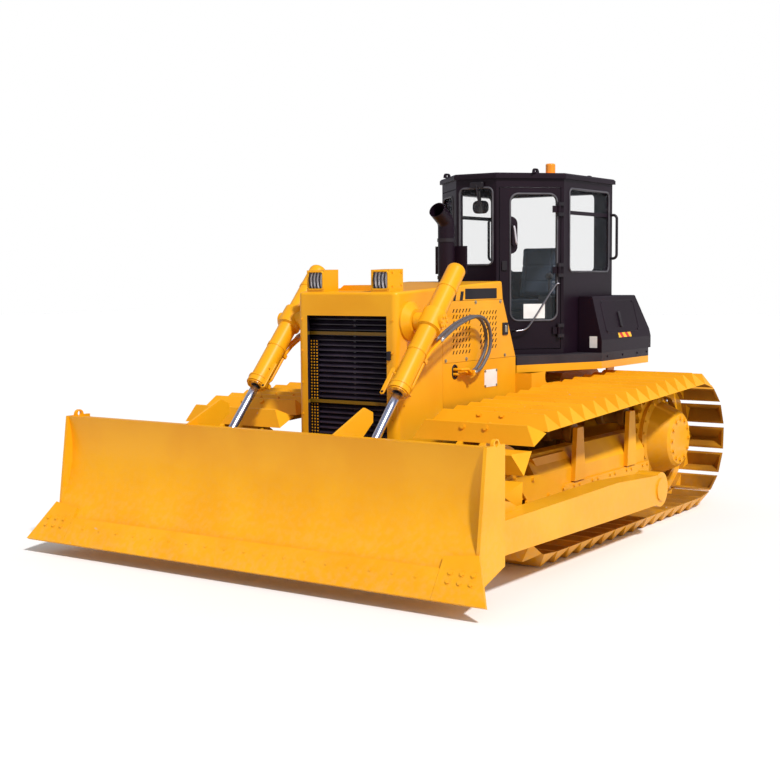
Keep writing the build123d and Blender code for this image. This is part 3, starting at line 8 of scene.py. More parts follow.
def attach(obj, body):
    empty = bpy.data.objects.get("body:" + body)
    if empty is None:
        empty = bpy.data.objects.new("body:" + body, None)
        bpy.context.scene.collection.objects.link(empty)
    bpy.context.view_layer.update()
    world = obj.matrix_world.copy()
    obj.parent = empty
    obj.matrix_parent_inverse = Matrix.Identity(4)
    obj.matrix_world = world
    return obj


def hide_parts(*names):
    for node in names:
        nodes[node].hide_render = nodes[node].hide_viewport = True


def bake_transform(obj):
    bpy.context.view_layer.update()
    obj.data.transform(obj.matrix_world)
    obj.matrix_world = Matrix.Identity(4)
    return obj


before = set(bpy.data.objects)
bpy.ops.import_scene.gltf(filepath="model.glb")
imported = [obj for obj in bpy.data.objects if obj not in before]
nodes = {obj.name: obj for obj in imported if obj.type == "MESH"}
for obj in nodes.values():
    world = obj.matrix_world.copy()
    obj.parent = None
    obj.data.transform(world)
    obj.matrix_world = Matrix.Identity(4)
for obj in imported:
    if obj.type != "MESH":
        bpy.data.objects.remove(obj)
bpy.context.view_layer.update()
print("frame loaded:", len(nodes), "nodes")


class Wire:  # one output socket; + - * / and abs() add Math nodes, and node() adds anything else
    def __init__(self, tree, socket=None):
        self.tree, self.socket = tree, socket

    def node(self, kind, values=None, settings=None, output=0):
        made = self.tree.nodes.new(kind)
        for name, value in (settings or {}).items():
            if name == "stops":  # a ramp's, each a place and a colour
                while len(made.color_ramp.elements) < len(value):
                    made.color_ramp.elements.new(0.5)
                for element, (place, colour) in zip(made.color_ramp.elements, value):
                    element.position, element.color = place, colour
            else:
                setattr(made, name, value)
        for name, value in (values or {}).items():
            if isinstance(value, list):  # one input that takes several wires
                for wire in value:
                    wire.into(made, name)
            elif isinstance(value, Wire):
                value.into(made, name)
            else:
                made.inputs[name].default_value = value
        return Wire(self.tree, made.outputs[output])

    def into(self, made, name):
        self.tree.links.new(self.socket, made.inputs[name])

    def maths(self, operation, first, second=0.0):
        return self.node("ShaderNodeMath", {0: first, 1: second}, {"operation": operation})

    def __add__(self, other):
        return self.maths("ADD", self, other)

    def __sub__(self, other):
        return self.maths("SUBTRACT", self, other)

    def __rsub__(self, other):
        return self.maths("SUBTRACT", other, self)

    def __mul__(self, other):
        return self.maths("MULTIPLY", self, other)

    def __truediv__(self, other):
        return self.maths("DIVIDE", self, other)

    def __abs__(self):
        return self.maths("ABSOLUTE", self)

    __radd__ = __add__
    __rmul__ = __mul__

    def part(self, axis):  # one coordinate of a vector
        return self.node("ShaderNodeSeparateXYZ", {"Vector": self}, output=axis)

    def between(self, low, high, start=0.0, end=1.0):  # eased from start to end, low to high
        return self.node(
            "ShaderNodeMapRange",
            {"Value": self, "From Min": low, "From Max": high, "To Min": start, "To Max": end},
            {"interpolation_type": "SMOOTHSTEP", "clamp": True},
        )

    def mixed(self, one, other):  # colours; this wire is the share of the other
        return self.node(
            "ShaderNodeMix", {"Factor": self, 6: one, 7: other}, {"data_type": "RGBA"}, output=2
        )


def newTree(name, sockets):  # a geometry tree with named inputs after its geometry
    tree = bpy.data.node_groups.new(name, "GeometryNodeTree")
    tree.interface.new_socket("Geometry", in_out="INPUT", socket_type="NodeSocketGeometry")
    for label, kind in sockets.items():
        tree.interface.new_socket(label, in_out="INPUT", socket_type="NodeSocket" + kind)
    tree.interface.new_socket("Geometry", in_out="OUTPUT", socket_type="NodeSocketGeometry")
    given = tree.nodes.new("NodeGroupInput")
    return Wire(tree), {socket.name: Wire(tree, socket) for socket in given.outputs if socket.name}


def endTree(start, geometry, material):
    realized = start.node("GeometryNodeRealizeInstances", {"Geometry": geometry})
    dressed = start.node("GeometryNodeSetMaterial", {"Geometry": realized, "Material": material})
    dressed.into(start.tree.nodes.new("NodeGroupOutput"), 0)
    return start.tree


def newPiece(name, mesh):
    piece = bpy.data.objects.new(name, mesh)
    bpy.context.scene.collection.objects.link(piece)
    return piece


def modelled(name, shape, finish=None):  # the piece that a bmesh makes
    mesh = bpy.data.meshes.new(name)
    shape.to_mesh(mesh)
    shape.free()
    if finish:
        mesh.materials.append(finishes[finish])
    return newPiece(name, mesh)


def settled(piece):  # its modifiers' result becomes its plain mesh
    bpy.context.view_layer.update()
    seen = piece.evaluated_get(bpy.context.evaluated_depsgraph_get())
    mesh = bpy.data.meshes.new_from_object(seen)
    piece.modifiers.clear()
    piece.data = mesh
    while len(mesh.materials) and mesh.materials[0] is None:
        mesh.materials.pop(index=0)
    return piece


def grown(name, mesh, tree, sizes):  # a plain mesh that a geometry tree makes out of a seed mesh
    piece = newPiece(name, mesh)
    modifier = piece.modifiers.new(tree.name, "NODES")
    modifier.node_group = tree
    for item in tree.interface.items_tree:
        if item.in_out == "INPUT" and item.name in sizes:
            modifier[item.identifier] = sizes[item.name]
    return settled(piece)


def newMaterial(name, shader=None):
    material = bpy.data.materials.new(name)
    material.use_nodes = True
    coat = material.node_tree.nodes["Principled BSDF"]
    for label, value in (shader or {}).items():
        coat.inputs[label].default_value = value
    return material, coat, Wire(material.node_tree)


def painted(name, look):
    material, coat, start = newMaterial(name, look.get("shader"))
    place = start.node("ShaderNodeTexCoord", output=3)

    def noise(scale, detail, distortion=0.0):
        return start.node("ShaderNodeTexNoise", {
            "Vector": place, "Scale": scale, "Detail": detail, "Distortion": distortion,
        })

    broad, fine = noise(look["patch"], 4.0), noise(look["grain"], 3.0)
    patches = broad.between(0.35, 0.65)
    colour = patches.mixed((*look["colour"], 1), (*look["shade"], 1))
    rough = look["rough"] + (broad - 0.5) * look.get("roughSpread", 0.1)
    if "dust" in look:  # a film that thickens toward the ground and in the hollows of the noise
        low = place.part(2).between(look["dustTop"], 0.0)
        film = low * noise(23.0, 6.0).between(0.35, 0.75) * look["dust"]
        colour = film.mixed(colour, (*look["dustColour"], 1))
        rough = rough + film * 0.45
    grimeAndShade = None
    if "inner" in look:  # painted shade, with oil and earth, on the faces that look in at the loop's own middle line
        turn = look["inner"]
        normal = start.node("ShaderNodeNewGeometry", output=1)
        along, rise = place.part(1), place.part(2) - turn["middle"]
        within = start.maths("MINIMUM", start.maths("MAXIMUM", along, turn["front"]), turn["rear"])
        inward = normal.part(1) * (along - within) + normal.part(2) * rise
        facing = inward.between(turn["faint"], turn["full"])
        grimeAndShade = facing * broad.between(0.25, 0.6, 0.55, 1.0) * turn["share"]
    if "below" in look:  # painted shade, with some grime, below the deck and between the tracks
        under = look["below"]
        low = place.part(2).between(*under["height"]) * abs(place.part(0)).between(*under["across"])
        grimeAndShade = low * broad.between(0.25, 0.6, 0.7, 1.0) * under["share"]
    # darken toward a dark brown: painted shade with some grime
    if grimeAndShade:
        colour = grimeAndShade.mixed(colour, (*look["grimeColour"], 1))
        rough = rough + grimeAndShade * 0.3
    if "recess" in look:  # painted shade: near black in the opening that the louvres stand in
        box, soft = look["recess"], 0.0005
        across, along, rise = abs(place.part(0)), place.part(1), place.part(2)
        inside = None
        for half, front in box["steps"]:
            step = across.between(half + soft, half) * along.between(front - soft, front)
            inside = start.maths("MAXIMUM", inside, step) if inside else step
        inside = inside * rise.between(box["top"] + 2 * soft, box["top"])
        inside = inside * rise.between(box["low"] - 2 * soft, box["low"])
        recessShade, shadedBarYellow = (0.014, 0.009, 0.018, 1), (0.20, 0.105, 0.006, 1)
        for level in box.get("bars", []):  # the cross bars get a dull yellow, their yellow in painted shade
            recessShade = abs(rise - level).between(*box["barHalf"]).mixed(recessShade, shadedBarYellow)
        colour = inside.mixed(colour, recessShade)
    if "wear" in look:  # bare metal in thin broken scratches
        bare = noise(look["wearScale"], 8.0, 1.4).between(0.70, 0.76) * look["wear"]
        colour = bare.mixed(colour, (0.42, 0.40, 0.38, 1))
        rough = rough - bare * 0.1
    relief = {"Strength": look["bump"], "Distance": 0.002, "Height": fine}
    colour.into(coat, "Base Color")
    rough.into(coat, "Roughness")
    start.node("ShaderNodeBump", relief).into(coat, "Normal")
    return material


def coated(colour, shade, rough, patch, grain, bump, **more):
    # two shades in broad patches, and a fine grain; more may hold shader settings, dust and wear
    return {
        "colour": colour, "shade": shade, "rough": rough, "patch": patch, "grain": grain,
        "bump": bump, **more,
    }


def glossed(specular, coat=None, coatRough=None):  # settings of the shader's own sockets
    given = {"Specular IOR Level": specular, "Coat Weight": coat, "Coat Roughness": coatRough}
    return {label: value for label, value in given.items() if value is not None}


yellow = ((0.83, 0.375, 0.008), (0.79, 0.335, 0.005))
sheet = coated(*yellow, 0.36, 1.7, 420.0, 0.05, shader=glossed(0.22, 0.08, 0.12))
running = coated(
    *yellow, 0.44, 2.3, 260.0, 0.09, shader=glossed(0.22, 0.05, 0.2),
    dust=0.3, dustTop=0.5, dustColour=(0.52, 0.40, 0.27), wear=0.5, wearScale=9.0,
)
looks = {
    "bodyEnamel": {**sheet, "dust": 0.12, "dustTop": 1.1, "dustColour": (0.55, 0.42, 0.28)},
    # its recess paints shade in the opening that the louvres stand in, with dimmed cross bars
    "guardEnamel": {**sheet, "recess": {
        "steps": [(0.3805, -1.2115), (0.4635, -1.1835)], "top": 1.8305, "low": 0.7595,
        "bars": [1.150, 1.690], "barHalf": (0.0135, 0.0128),
    }},
    # its recess paints shade on the hood sides' inner faces round the slots
    "slottedEnamel": {**sheet, "recess": {"steps": [(0.4742, -0.44)], "top": 1.885, "low": 1.475}},
    # its below setting paints shade, with some grime, under the deck and between the tracks
    "hullEnamel": coated(
        *yellow, 0.42, 1.9, 380.0, 0.06, shader=glossed(0.22), grimeColour=(0.060, 0.020, 0.004),
        below={"height": (1.16, 0.96), "across": (1.35, 1.20), "share": 0.9},
    ),
    # its inner setting paints shade, with oil and earth, on the loop's inward faces
    "loopEnamel": {**running, "grimeColour": (0.115, 0.042, 0.006), "inner": {
        "middle": 0.60, "front": -1.00, "rear": 2.00, "faint": -0.02, "full": -0.16, "share": 0.75,
    }},
    # the rollers: a darker, browner copy of the yellow, painted shade under the track with some
    # grime
    "rollerEnamel": coated(
        (0.30, 0.125, 0.010), (0.16, 0.060, 0.006), 0.5, 4.0, 200.0, 0.12, shader=glossed(0.22),
    ),
    "trackEnamel": running,
    "edgeEnamel": coated(
        *yellow, 0.40, 2.0, 300.0, 0.08, shader=glossed(0.22, 0.05),
        dust=0.2, dustTop=0.4, dustColour=(0.50, 0.38, 0.26), wear=0.7, wearScale=6.0,
    ),
    "cabEnamel": coated(
        (0.0080, 0.0028, 0.0070), (0.0115, 0.0045, 0.0105), 0.42, 1.5, 380.0, 0.05,
        shader=glossed(0.18),
    ),
    "treadDeck": coated((0.014, 0.009, 0.014), (0.024, 0.018, 0.024), 0.62, 3.0, 700.0, 0.5),
    "mattBlack": coated(
        (0.012, 0.009, 0.013), (0.020, 0.016, 0.021), 0.5, 2.5, 300.0, 0.12, shader=glossed(0.3),
    ),
    "louvreBlack": coated((0.014, 0.009, 0.018), (0.026, 0.018, 0.032), 0.42, 6.0, 200.0, 0.05),
    "coreFins": coated((0.012, 0.010, 0.014), (0.020, 0.016, 0.022), 0.7, 12.0, 90.0, 0.6),
    "engineIron": coated((0.045, 0.042, 0.040), (0.065, 0.058, 0.052), 0.66, 4.0, 150.0, 0.25),
    "hardChrome": coated(
        (0.66, 0.70, 0.84), (0.60, 0.64, 0.80), 0.24, 9.0, 60.0, 0.0, roughSpread=0.04,
        shader={"Metallic": 1.0},
    ),
    "railSteel": coated(
        (0.30, 0.29, 0.31), (0.22, 0.21, 0.23), 0.28, 9.0, 120.0, 0.02, shader={"Metallic": 1.0},
    ),
    "handleGrey": coated((0.55, 0.53, 0.58), (0.48, 0.46, 0.52), 0.4, 9.0, 300.0, 0.04),
    "zinc": coated(
        (0.50, 0.47, 0.38), (0.42, 0.39, 0.32), 0.38, 30.0, 300.0, 0.05, shader={"Metallic": 0.9},
    ),
    "ferruleSteel": coated(
        (0.62, 0.61, 0.58), (0.5, 0.49, 0.47), 0.3, 25.0, 200.0, 0.05, shader={"Metallic": 0.85},
    ),
    "sealRubber": coated((0.060, 0.056, 0.066), (0.085, 0.080, 0.092), 0.6, 8.0, 240.0, 0.1),
    "wiperRubber": coated((0.018, 0.018, 0.018), (0.03, 0.03, 0.03), 0.5, 14.0, 300.0, 0.05),
    "windowGlass": coated(
        (0.20, 0.23, 0.25), (0.17, 0.20, 0.22), 0.04, 1.2, 6.0, 0.004, roughSpread=0.05,
        shader={**glossed(None, 0.15, 0.02), "Alpha": 0.05},
    ),
    "lampGlass": coated(
        (0.88, 0.86, 0.90), (0.80, 0.78, 0.84), 0.07, 20.0, 50.0, 0.35, roughSpread=0.05,
        shader=glossed(None, 0.8, 0.03),
    ),
    "amberDome": coated(
        (0.95, 0.32, 0.01), (0.90, 0.26, 0.01), 0.16, 14.0, 70.0, 0.06,
        shader={
            **glossed(None, 0.7, 0.05), "Emission Color": (1.0, 0.30, 0.01, 1),
            "Emission Strength": 0.12,
        },
    ),
    "consoleMoulding": coated((0.075, 0.075, 0.082), (0.09, 0.09, 0.098), 0.6, 5.0, 520.0, 0.4),
    "seatVinyl": coated((0.030, 0.042, 0.066), (0.042, 0.055, 0.080), 0.52, 7.0, 340.0, 0.45),
    "blankWhite": coated((0.86, 0.86, 0.84), (0.80, 0.80, 0.78), 0.35, 11.0, 200.0, 0.03),
    "panelBlack": coated(
        (0.009, 0.007, 0.010), (0.014, 0.011, 0.015), 0.4, 4.0, 260.0, 0.03, shader=glossed(0.2),
    ),
}
finishes = {name: painted(name, look) for name, look in looks.items()}


def stripedTape():  # reflective tape: slanting red and yellow blocks
    material, coat, start = newMaterial("stripedTape")
    place = start.node("ShaderNodeTexCoord", output=3)
    slant, blockLength = 0.8, 0.12
    phase = start.maths("FRACT", (place.part(1) + place.part(2) * slant) / blockLength)
    cells = start.node("ShaderNodeTexVoronoi", {"Vector": place, "Scale": 160.0})
    colour = phase.between(0.49, 0.51).mixed((0.85, 0.50, 0.02, 1), (0.55, 0.02, 0.015, 1))
    colour.into(coat, "Base Color")
    (0.25 + cells * 0.2).into(coat, "Roughness")
    return material


def braidedHose():  # two crossing sets of steel strands over rubber, on the tube's own UV map
    material, coat, start = newMaterial("braidedHose")
    lie = start.node("ShaderNodeUVMap", settings={"uv_map": "lie"})
    strandsAround, pitch = 8.0, 0.011
    around, along = lie.part(0) * strandsAround, lie.part(1) / pitch
    right = start.maths("SINE", (around + along) * math.tau)
    left = start.maths("SINE", (around - along) * math.tau)
    strands = start.maths("MAXIMUM", right, left).between(-0.2, 0.9)
    bump = start.node("ShaderNodeBump", {"Strength": 0.4, "Distance": 0.001, "Height": strands})
    strands.mixed((0.018, 0.016, 0.018, 1), (0.16, 0.15, 0.16, 1)).into(coat, "Base Color")
    (0.62 - strands * 0.2).into(coat, "Roughness")
    bump.into(coat, "Normal")
    return material


finishes["stripedTape"] = stripedTape()
finishes["braidedHose"] = braidedHose()
wears = {
    "bodyEnamel": [
        "hood_top", "headlamps", "push_arms", "blade", "lift_barrel_left", "lift_barrel_right",
        "cylinder_brackets", "hose_manifolds", "fenders", "deck_carriers", "drawbar",
        "final_drives",
    ],
    "guardEnamel": ["radiator_guard"],
    "slottedEnamel": ["hood_sides"],
    "hullEnamel": ["hull_sides", "rear_case", "main_frame", "belly_guards"],
    "loopEnamel": ["track_left", "track_right"],
    "rollerEnamel": ["track_rollers", "carrier_rollers"],
    "trackEnamel": ["sprockets", "idlers", "track_frames"],
    "edgeEnamel": ["cutting_edges"],
    "cabEnamel": [
        "cab_body", "cab_roof", "cab_door_left", "cab_door_right", "side_boxes", "fuel_tank",
        "exhaust_stack",
    ],
    "treadDeck": ["cab_deck"],
    "mattBlack": ["cab_fittings"],
    "louvreBlack": ["front_grille"],
    "coreFins": ["radiator_core"],
    "engineIron": ["engine_block"],
    "hardChrome": ["lift_rod_left", "lift_rod_right"],
    "windowGlass": ["cab_glass", "door_glass_left", "door_glass_right"],
    "lampGlass": ["lamp_lenses"],
    "amberDome": ["beacon"],
    "consoleMoulding": ["operator_station"],
    "seatVinyl": ["seat_cushions"],
    "braidedHose": ["lift_hoses_left", "lift_hoses_right"],
}
for finish, members in wears.items():
    for member in members:
        for slot in nodes[member].material_slots:
            slot.material = finishes[finish]
print("finishes:", len(finishes))

# camera, floor and light
view = {
    "place": (6.0975, -9.5537, 2.1194), "yaw": 34.296, "pitch": 4.804, "roll": -0.399,
    "lens": 61.52,
}
lens = bpy.data.cameras.new("camera")
lens.lens, lens.sensor_width, lens.clip_end = view["lens"], 36.0, 300.0
camera = newPiece("camera", lens)
stand = Matrix.Translation(view["place"])
for turn, axis in ((view["yaw"], "Z"), (90 - view["pitch"], "X"), (view["roll"], "Z")):
    stand = stand @ Matrix.Rotation(math.radians(turn), 4, axis)
camera.matrix_world = stand
bpy.context.scene.camera = camera
bpy.context.scene.view_settings.view_transform = "Standard"

floorHalf, floorDown = 60, -0.002
floorMesh = bpy.data.meshes.new("floor")
floorMesh.from_pydata(
    [(x * floorHalf, y * floorHalf, floorDown) for x, y in ((-1, -1), (1, -1), (1, 1), (-1, 1))],
    [], [(0, 1, 2, 3)],
)
floorPiece = newPiece("floor", floorMesh)
pale = coated((0.86, 0.86, 0.86), (0.84, 0.84, 0.84), 0.8, 0.3, 30.0, 0.06)
floorMesh.materials.append(painted("paleFloor", pale))

lights = {
    "sunWay": (0.66, -0.30, 0.78), "sunPower": 3.5, "sunSpread": 5.0, "sky": 0.46,
    "bands": [  # place round the horizon, and power
        (0.0, 1.0), (0.10, 0.30), (0.20, 1.3), (0.34, 0.35), (0.46, 1.2), (0.60, 0.25),
        (0.72, 1.6), (0.80, 0.35), (0.90, 1.1),
    ],
    "dim": 0.5, "dimTint": (0.45, 0.55, 1.3),
}
sunLight = bpy.data.lights.new("sun", "SUN")
sunLight.energy, sunLight.angle = lights["sunPower"], math.radians(lights["sunSpread"])
sun = newPiece("sun", sunLight)
sun.rotation_euler = Vector(lights["sunWay"]).to_track_quat("Z", "Y").to_euler()
world = bpy.data.worlds.new("studio")
world.use_nodes = True
sky = Wire(world.node_tree)  # seen white, while it lights the machine more gently
seen = sky.node("ShaderNodeLightPath")
gloss = sky.node("ShaderNodeLightPath", output=3)
way = sky.node("ShaderNodeTexCoord", output=0)
heading = sky.maths(  # once round the horizon, from 0 to 1
    "FRACT", sky.maths("ARCTAN2", way.part(1), way.part(0)) / math.tau + 1.0,
)
bandStops = []
for place, power in lights["bands"]:
    tint = lights["dimTint"] if power < lights["dim"] else (1, 1, 1)
    bandStops.append((place, (*[power * share for share in tint], 1)))
# soft boxes and dark blue gaps, which only polished metal and glass show
bands = sky.node("ShaderNodeValToRGB", {"Fac": heading}, {"stops": bandStops})
backdrop = world.node_tree.nodes["Background"]
gloss.mixed((1.0, 1.0, 1.0, 1), bands).into(backdrop, "Color")
(seen * (1.0 - lights["sky"]) + lights["sky"]).into(backdrop, "Strength")
bpy.context.scene.world = world
print("camera and light set")

# lift hoses
hose = {
    "radius": 0.014, "spread": 0.044, "sides": 14,
    "route": [  # of the left pair's middle, from the barrel's port to the manifold
        (0.673, -0.9507, 1.6334), (0.673, -0.7814, 1.7198), (0.640, -0.500, 1.790),
        (0.600, -0.237, 1.815), (0.570, -0.055, 1.760), (0.552, 0.035, 1.640),
        (0.540, 0.040, 1.520), (0.532, -0.035, 1.422), (0.521, -0.115, 1.347),
        (0.521, -0.206, 1.347),
    ],
    "bendStart": (0.60, -0.237, 1.815), "bendEnd": (0.673, -0.85, 1.68),
    "ferrule": 0.055,
    "turning": [(0.0, 0.0165), (0.35, 0.0165), (0.36, 0.0178), (0.92, 0.0170), (1.0, 0.0150)],
}


def smoothPath(points):  # points along the NURBS spline that the route's points control
    curve = bpy.data.curves.new("route", "CURVE")
    curve.dimensions, curve.resolution_u = "3D", 14
    spline = curve.splines.new("NURBS")
    spline.points.add(len(points) - 1)
    for knot, point in zip(spline.points, points):
        knot.co = (*point, 1)
    spline.order_u = 3
    spline.use_endpoint_u = True
    holder = newPiece("route", curve)
    mesh = bpy.data.meshes.new_from_object(holder)
    path = [vertex.co.copy() for vertex in mesh.vertices]
    bpy.data.objects.remove(holder)
    bpy.data.meshes.remove(mesh)
    return path


def tubeOn(name, path, radii, sides, finish):  # closed; radii is one radius or one for each point
    if not isinstance(radii, list):
        radii = [radii] * len(path)
    shape = bmesh.new()
    lie = shape.loops.layers.uv.new("lie")
    way = (path[1] - path[0]).normalized()
    side = way.orthogonal().normalized()
    rings, runs, run = [], [], 0.0
    for index, point in enumerate(path):
        ahead = path[min(index + 1, len(path) - 1)] - path[max(index - 1, 0)]
        turn = way.rotation_difference(ahead.normalized())
        side, way = (turn @ side).normalized(), ahead.normalized()
        up = way.cross(side)
        run += (point - path[index - 1]).length if index else 0.0
        runs.append(run)
        ring = []
        for k in range(sides):
            angle = math.tau * k / sides
            outward = math.cos(angle) * side + math.sin(angle) * up
            ring.append(shape.verts.new(point + radii[index] * outward))
        rings.append(ring)
    for row in range(len(rings) - 1):
        for k in range(sides):
            corners = ((k, row), (k + 1, row), (k + 1, row + 1), (k, row + 1))
            face = shape.faces.new([rings[height][around % sides] for around, height in corners])
            face.smooth = True
            for loop, (around, height) in zip(face.loops, corners):
                loop[lie].uv = (around / sides, runs[height])
    shape.faces.new(list(reversed(rings[0])))
    shape.faces.new(rings[-1])
    return modelled(name, shape, finish)


def collarOn(name, path, body):  # a turned fitting along the path's first stretch
    way = (path[1] - path[0]).normalized()
    marks = [path[0] + way * hose["ferrule"] * share for share, _ in hose["turning"]]
    fitting = tubeOn(name, marks, [radius for _, radius in hose["turning"]], 18, "ferruleSteel")
    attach(fitting, body)
    return fitting


for sideName, side in (("left", 1), ("right", -1)):
    for row, shift in (("Inner", -0.5), ("Outer", 0.5)):
        route = [Vector((side * (x + shift * hose["spread"]), y, z)) for x, y, z in hose["route"]]
        path = smoothPath(route)
        tube = tubeOn(f"hose{row}_{sideName}", path, hose["radius"], hose["sides"], "braidedHose")
        barrelBody = f"lift_barrel_{sideName}"
        atBarrel = collarOn(f"hoseNut{row}_{sideName}", path, barrelBody)
        atHull = collarOn(f"hullNut{row}_{sideName}", list(reversed(path)), "chassis")
        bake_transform(tube)
        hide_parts(f"lift_hoses_{sideName}")
print("hoses laid")


# faces that the trim stands on
def facePlace(origin, along, outward):  # local x along the face, y up it, z out of it
    outward, along = Vector(outward).normalized(), Vector(along).normalized()
    up = outward.cross(along)
    turned = Matrix((along, up, outward)).transposed().to_4x4()
    return Matrix.Translation(origin) @ turned


machine = {
    "hoodSide": 0.475, "guardFront": -1.213, "cabFront": 0.767, "cabSide": 0.639,
    "cabRear": 2.233, "doorCorner": (0.207, 0.767), "doorEnd": (0.639, 1.222),
}
doorAlong = (Vector(machine["doorEnd"]) - Vector(machine["doorCorner"])).normalized()
doorOut = Vector((doorAlong.y, -doorAlong.x, 0))


def leftSide(x, y, z):
    return facePlace((x, y, z), (0, 1, 0), (1, 0, 0))


def frontSide(x, y, z):
    return facePlace((x, y, z), (1, 0, 0), (0, -1, 0))


def rearSide(x, y, z):
    return facePlace((x, y, z), (-1, 0, 0), (0, 1, 0))


def doorSide(along, z, out=0.0):  # on the left door's face, from the front post
    place = Vector((*machine["doorCorner"], z)) + Vector((*(doorAlong * along), 0))
    return facePlace(place + doorOut * out, (*doorAlong, 0), doorOut)


def outwardAt(x, y, z):  # a spot on a side that looks left, and the way it looks
    return Vector((x, y, z)), Vector((1, 0, 0))


def riding(piece, body="chassis"):
    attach(piece, body)


def withMirror(piece, body="chassis"):  # the piece stands at +X; its mirror image joins it at -X
    shape = bmesh.new()
    shape.from_mesh(piece.data)
    bmesh.ops.transform(shape, matrix=Matrix.Diagonal((-1, 1, 1, 1)), verts=shape.verts)
    bmesh.ops.reverse_faces(shape, faces=shape.faces)
    mesh = piece.data.copy()
    shape.to_mesh(mesh)
    shape.free()
    other = newPiece(piece.name + "_right", mesh)
    piece.name += "_left"
    riding(piece, body)
    riding(other, body.replace("_left", "_right"))


def plateOn(name, place, width, height, thickness, finish, corner=0.004, edge=0.001):
    # a rounded plate whose back lies on the face
    shape = bmesh.new()
    steps = 5
    rings = []
    for inset, level in ((0, 0), (0, thickness - edge), (edge, thickness)):
        ring = []
        bend = max(corner - inset, 0.0005)
        for quarter, (sx, sy) in enumerate(((1, 1), (-1, 1), (-1, -1), (1, -1))):
            centre = Vector((sx * (width / 2 - corner), sy * (height / 2 - corner), level))
            for step in range(steps):
                turn = math.pi / 2 * (quarter + step / (steps - 1))
                spot = centre + Vector((math.cos(turn), math.sin(turn), 0)) * bend
                ring.append(shape.verts.new(place @ spot))
        rings.append(ring)
    for low, high in zip(rings, rings[1:]):
        for k in range(len(low)):
            shape.faces.new((low[k - 1], low[k], high[k], high[k - 1]))
    shape.faces.new(list(reversed(rings[0])))
    shape.faces.new(rings[-1])
    return modelled(name, shape, finish)


def labelOn(name, place, width, height, finish, corner=0.003):  # a sticker or a sheet plate
    return plateOn(name, place, width, height, 0.0015, finish, corner, edge=0.0004)


def barOn(name, points, radius, finish, sides=10):  # a round bar through the points
    points = [Vector(point) for point in points]
    path = smoothPath(points) if len(points) > 2 else points
    return tubeOn(name, path, radius, sides, finish)


def boltTree():
    start, given = newTree("bolts", {
        "Head radius": "Float", "Head height": "Float", "Washer": "Float", "Seed": "Int",
        "Finish": "Material",
    })
    washerThick, mostTurn = 0.004, 1.05
    head = start.node(
        "GeometryNodeMeshCylinder",
        {"Vertices": 6, "Radius": given["Head radius"], "Depth": given["Head height"]},
    )
    washer = start.node(
        "GeometryNodeMeshCylinder",
        {"Vertices": 12, "Radius": given["Washer"], "Depth": washerThick},
    )
    lift = start.node("ShaderNodeCombineXYZ", {"Z": given["Head height"] * 0.5 + washerThick / 2})
    raised = start.node("GeometryNodeTransform", {"Geometry": head, "Translation": lift})
    bolt = start.node("GeometryNodeJoinGeometry", {"Geometry": [raised, washer]})
    facing = start.node(
        "GeometryNodeInputNamedAttribute", {"Name": "facing"}, {"data_type": "FLOAT_VECTOR"}
    )
    turned = start.node("FunctionNodeAlignRotationToVector", {"Vector": facing}, {"axis": "Z"})
    placed = start.node(
        "GeometryNodeInstanceOnPoints",
        {"Points": given["Geometry"], "Instance": bolt, "Rotation": turned},
    )
    spin = start.node(
        "FunctionNodeRandomValue", {2: 0.0, 3: mostTurn, "Seed": given["Seed"]},
        {"data_type": "FLOAT"}, output=1,
    )
    spun = start.node(
        "GeometryNodeRotateInstances",
        {"Instances": placed, "Rotation": start.node("ShaderNodeCombineXYZ", {"Z": spin})},
    )
    return endTree(start, spun, given["Finish"])


boltsMaker = boltTree()
boltSizes = {  # head radius, head height, washer radius
    "dot": (0.006, 0.002, 0.0065),
    "small": (0.008, 0.006, 0.012),
    "panel": (0.011, 0.008, 0.016),
    "frame": (0.017, 0.013, 0.024),
    "shoe": (0.020, 0.012, 0.024),
    "plough": (0.017, 0.006, 0.023),
    "flush": (0.011, 0.0015, 0.015),
}


def boltsOn(name, spots, size, finish):  # spots are pairs of a place and the way its head faces
    seed = bpy.data.meshes.new(name)
    seed.from_pydata([tuple(place) for place, _ in spots], [], [])
    facing = seed.attributes.new("facing", "FLOAT_VECTOR", "POINT")
    facing.data.foreach_set("vector", [value for _, way in spots for value in way])
    sizes = dict(zip(("Head radius", "Head height", "Washer"), boltSizes[size]))
    return grown(name, seed, boltsMaker, {**sizes, "Seed": 3, "Finish": finishes[finish]})


def spread(count, span):
    return [(k / (count - 1) - 0.5) * span if count > 1 else 0.0 for k in range(count)]


def gridOn(place, columns, rows, width, height):  # spots on a face, spread over a rectangle
    outward = place.col[2].xyz
    return [
        (place @ Vector((x, y, 0)), outward)
        for x in spread(columns, width) for y in spread(rows, height)
    ]


def circleOn(place, radius, count, turn=0.0):
    outward = place.col[2].xyz
    angles = [turn + math.tau * k / count for k in range(count)]
    return [
        (place @ Vector((radius * math.cos(angle), radius * math.sin(angle), 0)), outward)
        for angle in angles
    ]


def shoePlaces(node):  # each shoe's crest on a track: its middle and its outward way
    mesh = nodes[node].data
    found = {}
    for face in mesh.polygons:
        corners = [mesh.vertices[index].co for index in face.vertices]
        edges = sorted(
            ((a - b).length, (a + b) / 2) for a, b in zip(corners, corners[1:] + corners[:1])
        )
        if 0.0115 < edges[0][0] < 0.0125 and edges[-1][0] > 0.8:  # the crest's width and length
            middle = edges[-1][1]
            found[tuple(round(value, 2) for value in middle)] = (middle, face.normal.copy())
    return list(found.values())


